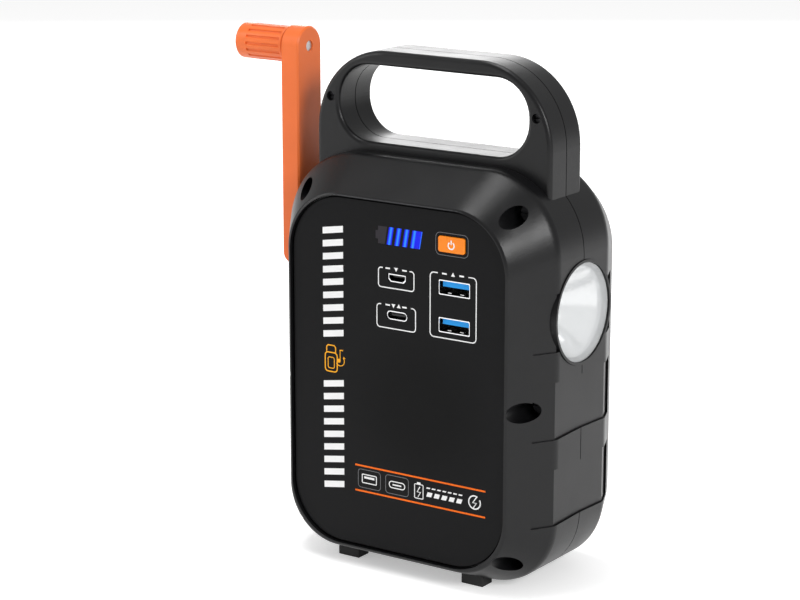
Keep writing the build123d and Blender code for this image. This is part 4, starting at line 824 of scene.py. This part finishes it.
@dataclass
class FrontLabel(Assembly):
    """Label plate with its printed marks, the power button and the charge gauge."""

    title = "front label"
    finishes = (
        (BLACK_LABEL, ("label_panel",)),
        (ORANGE_KEY, ("power_button",)),
        (BLUE_LIGHT, ("charge_level_bars",)),
        (GREY_TIP, ("charge_level_tip",)),
    )
    face: float = 32.0
    ports: tuple[PortMark, ...] = (
        PortMark("usb_a", low=(14.4, 91.9), high=(33.7, 115.2), corner=1.5, gap=(17.6, 30.4), middle=24.0,
                 arrows=((24.0, 90),)),
        PortMark("micro_usb", low=(-7.8, 106.9), high=(7.5, 114.0), corner=1.1, gap=(-5.9, 5.6), middle=-0.15,
                 arrows=((-0.15, -90),)),
        PortMark("usb_c", low=(-8.5, 92.1), high=(8.2, 100.6), corner=1.3, gap=(-6.6, 6.3), middle=-0.15,
                 arrows=((1.0, 90), (-1.3, -90))),
    )
    port_line: float = 0.42
    port_arrow: float = 0.95
    port_arrow_rise: float = 0.85
    port_dash: Point = (1.9, 0.56)
    port_dash_reach: float = 3.6
    stripe_left: float = -18.3
    stripe_right: float = 38.1
    stripe_heights: tuple[float, float] = (38.15, 28.5)
    stripe_width: float = 0.62
    column_left: float = -32.3
    column_width: float = 9.0
    column_top: float = 127.0
    column_break: tuple[float, float] = (84.6, 69.6)
    column_low: float = 27.2
    bar_height: float = 3.9
    bar_rise: float = 1.5
    bar_pitch: float = 4.5
    badge_low: float = 30.2
    badge_high: float = 37.1
    badge_spans: tuple[tuple[float, float], ...] = ((-17.0, -7.1), (-4.8, 5.2))
    dashes_left: float = 13.0
    bolt_line: float = 0.42
    bold_line: float = 0.5
    rim: float = 33.05
    rim_rise: float = 0.15
    rim_width: float = 0.4
    rim_low: Point = (-46.5, 7.1)
    rim_high: Point = (46.5, 138.3)
    rim_corner: float = 22.2
    rim_steps: int = 24
    button_face: float = 32.5
    button_middle: Point = (23.45, 125.65)
    button_ring: float = 1.25
    button_stroke: tuple[float, float] = (127.55, 125.95)

    def add(self) -> list[Piece]:
        """Prints the marks, joined by colour, and lays the fine lighter edge around them as a painted
        highlight.
        """
        ink = Ink(Facing.FRONT, self.face)
        white = self._port_marks(ink) + self._side_column(ink) + self._badges(ink)
        return [
            self._print(white, "label_print_white", WHITE_INK, "case"),
            self._print(self._stripes(ink), "label_print_orange", ORANGE_INK, "case"),
            self._print(self._pictogram(ink), "label_print_amber", AMBER_INK, "case"),
            self._print(self._thin_frames(ink), "label_print_grey", GREY_INK, "case"),
            self._print(self._power_mark(), "power_button_mark", WHITE_INK, "power_key"),
            self._print([self._rim_highlight_bead()], "label_rim_painted_highlight", RIM_PAINTED_HIGHLIGHT, "case"),
        ]

    def _print(self, marks: list[Piece], name: str, finish: Finish, body: str) -> Piece:
        """Joins marks of one ink into a named piece that rides on a body."""
        piece = Bench.join(marks, name)
        finish.dress(piece)
        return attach(piece, body)

    def _rim_highlight_bead(self) -> Piece:
        """Fine raised edge of the shell around the label, lighter grey as a painted highlight."""
        ink = Ink(Facing.FRONT, self.rim, self.rim_rise)
        return ink.frame("rim", self.rim_low, self.rim_high, self.rim_corner, self.rim_width,
                         steps=self.rim_steps)

    def _port_marks(self, ink: Ink) -> list[Piece]:
        """Outlines around the ports, each with arrows and two dashes in its gap."""
        marks = [ink.frame(f"{port.name}_frame", port.low, port.high, port.corner, self.port_line, port.gap)
                 for port in self.ports]
        for port in self.ports:
            for x, heading in port.arrows:
                tip = port.high[1] + math.copysign(self.port_arrow_rise, heading)
                marks.append(ink.arrow(f"{port.name}_arrow", (x, tip), self.port_arrow, heading))
        width, height = self.port_dash
        for port in self.ports:
            for side in (-1, 1):
                left = port.middle + side * self.port_dash_reach - width / 2
                marks.append(ink.bar(f"{port.name}_dash", (left, port.high[1] - height / 2), self.port_dash))
        return marks

    def _side_column(self, ink: Ink) -> list[Piece]:
        """Column of slanted bars along the left side, above and below the pictogram."""
        marks = []
        for top, low in ((self.column_top, self.column_break[0]), (self.column_break[1], self.column_low)):
            count = int((top - low) / self.bar_pitch)
            pitch = (top - low - self.bar_height) / (count - 1)
            for index in range(count):
                marks.append(self._slanted(ink, top - self.bar_height - index * pitch))
        return marks

    def _slanted(self, ink: Ink, low: float) -> Piece:
        """Bar of even height that rises from its left end, at a height, to its right end."""
        size = (self.column_width, self.bar_height - self.bar_rise)
        piece = ink.bar("column_bar", (self.column_left, low), size)
        middle = self.column_left + self.column_width / 2
        Bench.shift(piece, (0, 0, self.bar_rise), lambda at: at.x > middle)
        return piece

    def _stripes(self, ink: Ink) -> list[Piece]:
        """Two thin stripes above and below the badges."""
        size = (self.stripe_right - self.stripe_left, self.stripe_width)
        return [ink.bar("stripe", (self.stripe_left, z), size) for z in self.stripe_heights]

    def _pictogram(self, ink: Ink) -> list[Piece]:
        """Small drawing of a box with a carrying handle and a crank."""
        handle = [(-30.9, 79.2), (-30.9, 81.2), (-30.3, 81.9), (-27.5, 81.9), (-26.9, 81.2), (-26.9, 79.2)]
        arm = [(-26.2, 76.6), (-24.9, 76.6), (-24.9, 80.6), (-23.6, 80.6)]
        return [
            ink.frame("box", low=(-31.6, 72.0), high=(-26.2, 79.2), corner=1.3, width=self.bold_line),
            ink.frame("window", low=(-30.3, 73.3), high=(-27.5, 77.4), corner=0.7, width=0.35),
            ink.line("handle", handle, self.bold_line),
            ink.line("arm", arm, self.bold_line),
            ink.disc("hub", centre=(-25.4, 76.6), radius=0.75),
            ink.arc("turn", centre=(-24.9, 76.6), radius=1.9, start=-150, end=40, width=0.35),
            ink.arrow("turn_tip", tip=(-23.3, 78.4), size=0.6, heading=110),
        ]

    def _thin_frames(self, ink: Ink) -> list[Piece]:
        """Thin frames of the two badges and around the power button."""
        marks = [ink.frame("badge", (left, self.badge_low), (right, self.badge_high), corner=1.2, width=0.26)
                 for left, right in self.badge_spans]
        marks.append(ink.frame("button", low=(16.7, 121.85), high=(30.2, 129.85), corner=1.8, width=0.22))
        return marks

    def _badges(self, ink: Ink) -> list[Piece]:
        """Port, round plug, battery and bolt marks between the stripes."""
        battery_bolt = [(10.2, 35.0), (9.0, 33.0), (10.5, 33.0), (9.4, 31.2)]
        charge_bolt = [(34.4, 35.6), (32.8, 33.4), (34.4, 33.4), (33.0, 31.4)]
        marks = [
            ink.frame("flat_plug", low=(-15.2, 32.1), high=(-8.9, 35.3), corner=0.35, width=0.4),
            ink.bar("flat_plug_tongue", corner=(-14.3, 33.8), size=(4.5, 0.8)),
            ink.frame("oval_plug", low=(-3.2, 32.5), high=(3.6, 34.9), corner=1.15, width=0.4),
            ink.bar("oval_plug_tongue", corner=(-1.7, 33.45), size=(3.8, 0.5)),
            ink.frame("battery_body", low=(7.9, 30.6), high=(11.6, 35.9), corner=0.4, width=0.34),
            ink.bar("battery_tip", corner=(9.0, 36.05), size=(1.5, 0.65)),
            ink.line("battery_bolt", battery_bolt, self.bolt_line),
        ]
        short, long = (7, 2.3, 35.0, (1.5, 0.5), 0.25), (5, 3.2, 32.0, (2.1, 1.7), 0.6)
        for count, pitch, z, size, lean in (short, long):
            for index in range(count):
                marks.append(ink.bar("dash", (self.dashes_left + index * pitch, z), size, lean))
        return marks + [
            ink.arc("charge_ring", (33.6, 33.6), radius=2.45, start=60, end=390, width=self.bold_line),
            ink.line("charge_bolt", charge_bolt, self.bold_line),
        ]

    def _power_mark(self) -> list[Piece]:
        """Power symbol on the button."""
        ink = Ink(Facing.FRONT, self.button_face)
        stroke = [(self.button_middle[0], z) for z in self.button_stroke]
        return [
            ink.arc("ring", self.button_middle, self.button_ring, start=125, end=415, width=self.bold_line),
            ink.line("stroke", stroke, self.bold_line),
        ]


@dataclass
class Ports(Assembly):
    """The four sockets with their tongues, contacts and spring tabs."""

    title = "ports"
    finishes = (
        (SOCKET, ("usb_a_port_upper", "usb_a_port_lower", "micro_usb_port", "usb_c_port")),
        (BLUE_TONGUE, ("usb_a_tongues",)),
        (DARK, ("small_port_tongues",)),
    )
    wide_x: float = 24.3
    wide_heights: tuple[float, float] = (110.1, 96.5)
    wide_half: float = 2.7
    wall: float = 0.33
    tongue_rise: float = 1.05
    tongue_half: float = 0.95
    contact_xs: tuple[float, ...] = (-3.5, -1.0, 1.0, 3.5)
    contact_half: float = 0.5
    contact_ys: tuple[float, float] = (-29.6, -23.0)
    contact_proud: float = 0.12
    contact_sunk: float = 0.03
    contact_edge: float = 0.04
    tab_xs: tuple[float, float] = (-2.6, 2.6)
    tab_half: float = 0.8
    tab_ys: tuple[float, float] = (-30.6, -26.4)
    tab_sunk: float = 0.1
    tab_proud: float = 0.25
    tab_edge: float = 0.1
    tab_lift: float = 0.3
    tab_lift_from: float = -30.0

    def add(self) -> list[Piece]:
        """Adds the contacts and the spring tabs."""
        contacts = Bench.join(self._contacts(), "usb_a_contacts")
        BRASS.dress(contacts)
        tabs = Bench.join(self._tabs(), "usb_a_spring_tabs")
        SOCKET.dress(tabs)
        return [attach(piece, "case") for piece in (contacts, tabs)]

    def _contacts(self) -> list[Piece]:
        """Gilt strips under the tongues."""
        strips = []
        for z in self.wide_heights:
            under = z + self.tongue_rise - self.tongue_half
            for x in self.contact_xs:
                at = self.wide_x + x
                low = (at - self.contact_half, self.contact_ys[0], under - self.contact_proud)
                high = (at + self.contact_half, self.contact_ys[1], under + self.contact_sunk)
                strips.append(Bench.block("contact", low, high, self.contact_edge, segments=1))
        return strips

    def _tabs(self) -> list[Piece]:
        """Two spring tabs in the floor of each wide socket, with their front ends lifted."""
        tabs = []
        for z in self.wide_heights:
            floor = z - self.wide_half + self.wall
            for x in self.tab_xs:
                at = self.wide_x + x
                low = (at - self.tab_half, self.tab_ys[0], floor - self.tab_sunk)
                high = (at + self.tab_half, self.tab_ys[1], floor + self.tab_proud)
                tab = Bench.block("tab", low, high, self.tab_edge)
                Bench.shift(tab, (0, 0, self.tab_lift), lambda spot: spot.y < self.tab_lift_from)
                tabs.append(tab)
        return tabs


class Torch(Assembly):
    """Torch with its ring, clear lens, mirror with a painted glow, and LED."""

    title = "torch"
    finishes = (
        (BLACK_CASE, ("torch_ring",)),
        (CLEAR, ("torch_lens",)),
        (MIRROR_PAINTED_GLOW, ("torch_reflector",)),
        (WHITE, ("torch_led_board",)),
        (LED, ("torch_led",)),
    )


@dataclass
class Lantern(Assembly):
    """Rear lantern with its frame, window, keys and indicator."""

    title = "lantern"
    finishes = (
        (ORANGE, ("lantern_bezel", "lamp_button", "torch_button")),
        (DIFFUSER, ("lantern_diffuser", "indicator_lens")),
        (WHITE, ("lantern_reflector_tray", "lantern_light_board")),
        (LED, ("lantern_leds", "indicator_led")),
    )
    key_face: float = 28.5
    keys_z: float = 132.8
    mark_x: float = 11.4
    bulb_out: float = 0.9
    bulb_radius: float = 1.85
    bulb_line: float = 0.5
    bulb_neck: tuple[Point, ...] = ((-1.42, 1.19), (-2.5, 0.72), (-3.3, 0.72))
    bulb_cap: Point = (1.2, 1.7)
    bulb_cap_reach: float = 4.1
    torch_line: float = 0.45
    torch_half: tuple[Point, ...] = ((3.0, 0.7), (0.6, 0.7), (-0.6, 1.45))
    ray_rises: tuple[float, ...] = (-1.2, 0.0, 1.2)
    ray_ends: tuple[Point, ...] = ((1.4, 0.8), (2.7, 1.15))  # reach, and share of the rise there

    def add(self) -> list[Piece]:
        """Adds the marks on the keys."""
        bulb = Bench.join(self._bulb(), "lamp_button_mark")
        beam = Bench.join(self._beam(), "torch_button_mark")
        for piece in (bulb, beam):
            KEY_INK.dress(piece)
        return [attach(bulb, "lamp_key"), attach(beam, "torch_key")]

    def _bulb(self) -> list[Piece]:
        """Light bulb lying on its side, with its glass outwards, on the key at the crank side."""
        ink = Ink(Facing.REAR, self.key_face)
        x, z = self.mark_x + self.bulb_out, self.keys_z
        marks = [ink.arc("bulb_glass", (x, z), self.bulb_radius, start=-140, end=140, width=self.bulb_line)]
        for side in (1, -1):
            neck = [(x + along, z + side * rise) for along, rise in self.bulb_neck]
            marks.append(ink.line("bulb_neck", neck, self.bulb_line))
        marks.append(ink.bar("bulb_cap", (x - self.bulb_cap_reach, z - self.bulb_cap[1] / 2), self.bulb_cap))
        return marks

    def _beam(self) -> list[Piece]:
        """Hand torch with three rays, on the other key."""
        ink = Ink(Facing.REAR, self.key_face)
        x, z = -self.mark_x, self.keys_z
        body = [(x + along, z + rise) for along, rise in self.torch_half]
        body += [(x + along, z - rise) for along, rise in reversed(self.torch_half)]
        marks = [ink.line("torch_body", body, self.torch_line, closed=True)]
        for rise in self.ray_rises:
            ray = [(x - reach, z + rise * share) for reach, share in self.ray_ends]
            marks.append(ink.line("torch_ray", ray, self.torch_line))
        return marks


@dataclass
class Crank(Assembly):
    """Crank hub, folding arm, turning knob and the pocket that takes the knob."""

    title = "crank"
    finishes = (
        (ORANGE, ("crank_hub", "crank_arm", "crank_knob", "knob_cap", "knob_pocket")),
        (STEEL, ("crank_pin", "knob_axle", "crank_shaft", "shaft_clip")),
        (BRASS, ("shaft_bush",)),
    )
    side: float = 58.0
    pocket_half: float = 7.2
    pocket_heights: tuple[float, float] = (15.3, 36.7)
    bead: float = 0.45
    bead_sunk: float = 0.12
    bead_step: int = 10  # degrees
    deepest: float = 6.0
    smooth_to: float = 60.0  # degrees
    lug_low: tuple[float, float] = (-55.5, 22.6)
    lug_high: tuple[float, float] = (-46.0, 28.8)
    lug_sunk: float = 0.15
    lug_proud: float = 0.35
    lug_edge: float = 0.12

    def add(self) -> list[Piece]:
        """Adds the rounded edge and the lug of the pocket."""
        pieces = [self._pocket_edge(), self._lug()]
        for piece in pieces:
            ORANGE.dress(piece)
        return [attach(piece, "case") for piece in pieces]

    def _mouth(self) -> list[Point]:
        """Outline of the pocket's mouth with its rounded ends, as places across and up."""
        half = self.pocket_half + self.bead
        low, high = self.pocket_heights[0] - self.bead, self.pocket_heights[1] + self.bead
        angles = [math.radians(turn) for turn in range(0, 180 + self.bead_step, self.bead_step)]
        upper = [(half * math.cos(angle), high - half + half * math.sin(angle)) for angle in angles]
        lower = [(-across, low + high - height) for across, height in upper]
        rungs = [high - half - step for step in range(1, int(high - low - 2 * half))]
        left = [(-half, height) for height in rungs]
        right = [(half, height) for height in reversed(rungs)]
        return upper + left + lower + right

    def _pocket_edge(self) -> Piece:
        """Round bead along the mouth of the pocket, lying on its edge all the way round."""
        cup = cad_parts["knob_pocket"]
        points: list[Point] = []
        for across, height in self._mouth():
            start = Vector((-2 * self.side, -across, height)) * MM
            met, place, _, _ = cup.ray_cast(start, Vector((1, 0, 0)))
            if met and -place.x / MM > self.side - self.deepest:
                points.append((across, height, -place.x / MM - self.side - self.bead_sunk))
        ink = Ink(Facing.LEFT, self.side, self.bead)
        bead = ink.line("pocket_edge_bead", points, 2 * self.bead, closed=True)
        Bench.pick(bead)
        bpy.ops.object.shade_smooth_by_angle(angle=math.radians(self.smooth_to))
        Bench.clear()
        return bead

    def _lug(self) -> Piece:
        """Flat lug on the front wall of the pocket."""
        low = (self.lug_low[0], -self.pocket_half - self.lug_sunk, self.lug_low[1])
        high = (self.lug_high[0], -self.pocket_half + self.lug_proud, self.lug_high[1])
        return Bench.block("pocket_lug", low, high, self.lug_edge)


class Insides(Assembly):
    """Boards, gear train, generator and cells inside the case."""

    title = "insides"
    finishes = (
        (BOARD, ("main_circuit_board", "rear_button_board")),
        (DARK, ("board_components", "power_switch", "rear_button_switches", "battery_holder")),
        (STEEL, ("board_screws", "rear_button_screws", "gearbox_screws", "idler_axle", "generator_can",
                 "gearbox_outer_plate", "gearbox_inner_plate")),
        (BLACK_STEEL, ("generator_rotor",)),
        (BRASS, ("generator_pinion", "gearbox_spacers")),
        (GEAR_NYLON, ("crank_gear", "idler_gear")),
        (WHITE, ("gauge_light_guide",)),
        (LED, ("gauge_leds",)),
        (CELL, ("battery_cells",)),
    )


# ---- Building ----


def main() -> None:
    """Builds the studio and all sub-assemblies."""
    logging.basicConfig(level=logging.INFO, format="%(name)s: %(message)s")
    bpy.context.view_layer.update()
    Studio().build()
    for assembly in (CaseShells(), FrontLabel(), Ports(), Torch(), Lantern(), Crank(), Insides()):
        for piece in assembly.build():
            log.info("%s: %s, %d faces", assembly.title, piece.name, len(piece.data.polygons))
    undressed = [name for name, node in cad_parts.items() if not node.data.materials]
    log.info("solids without a finish: %s", undressed)


if __name__ == "__main__":
    main()
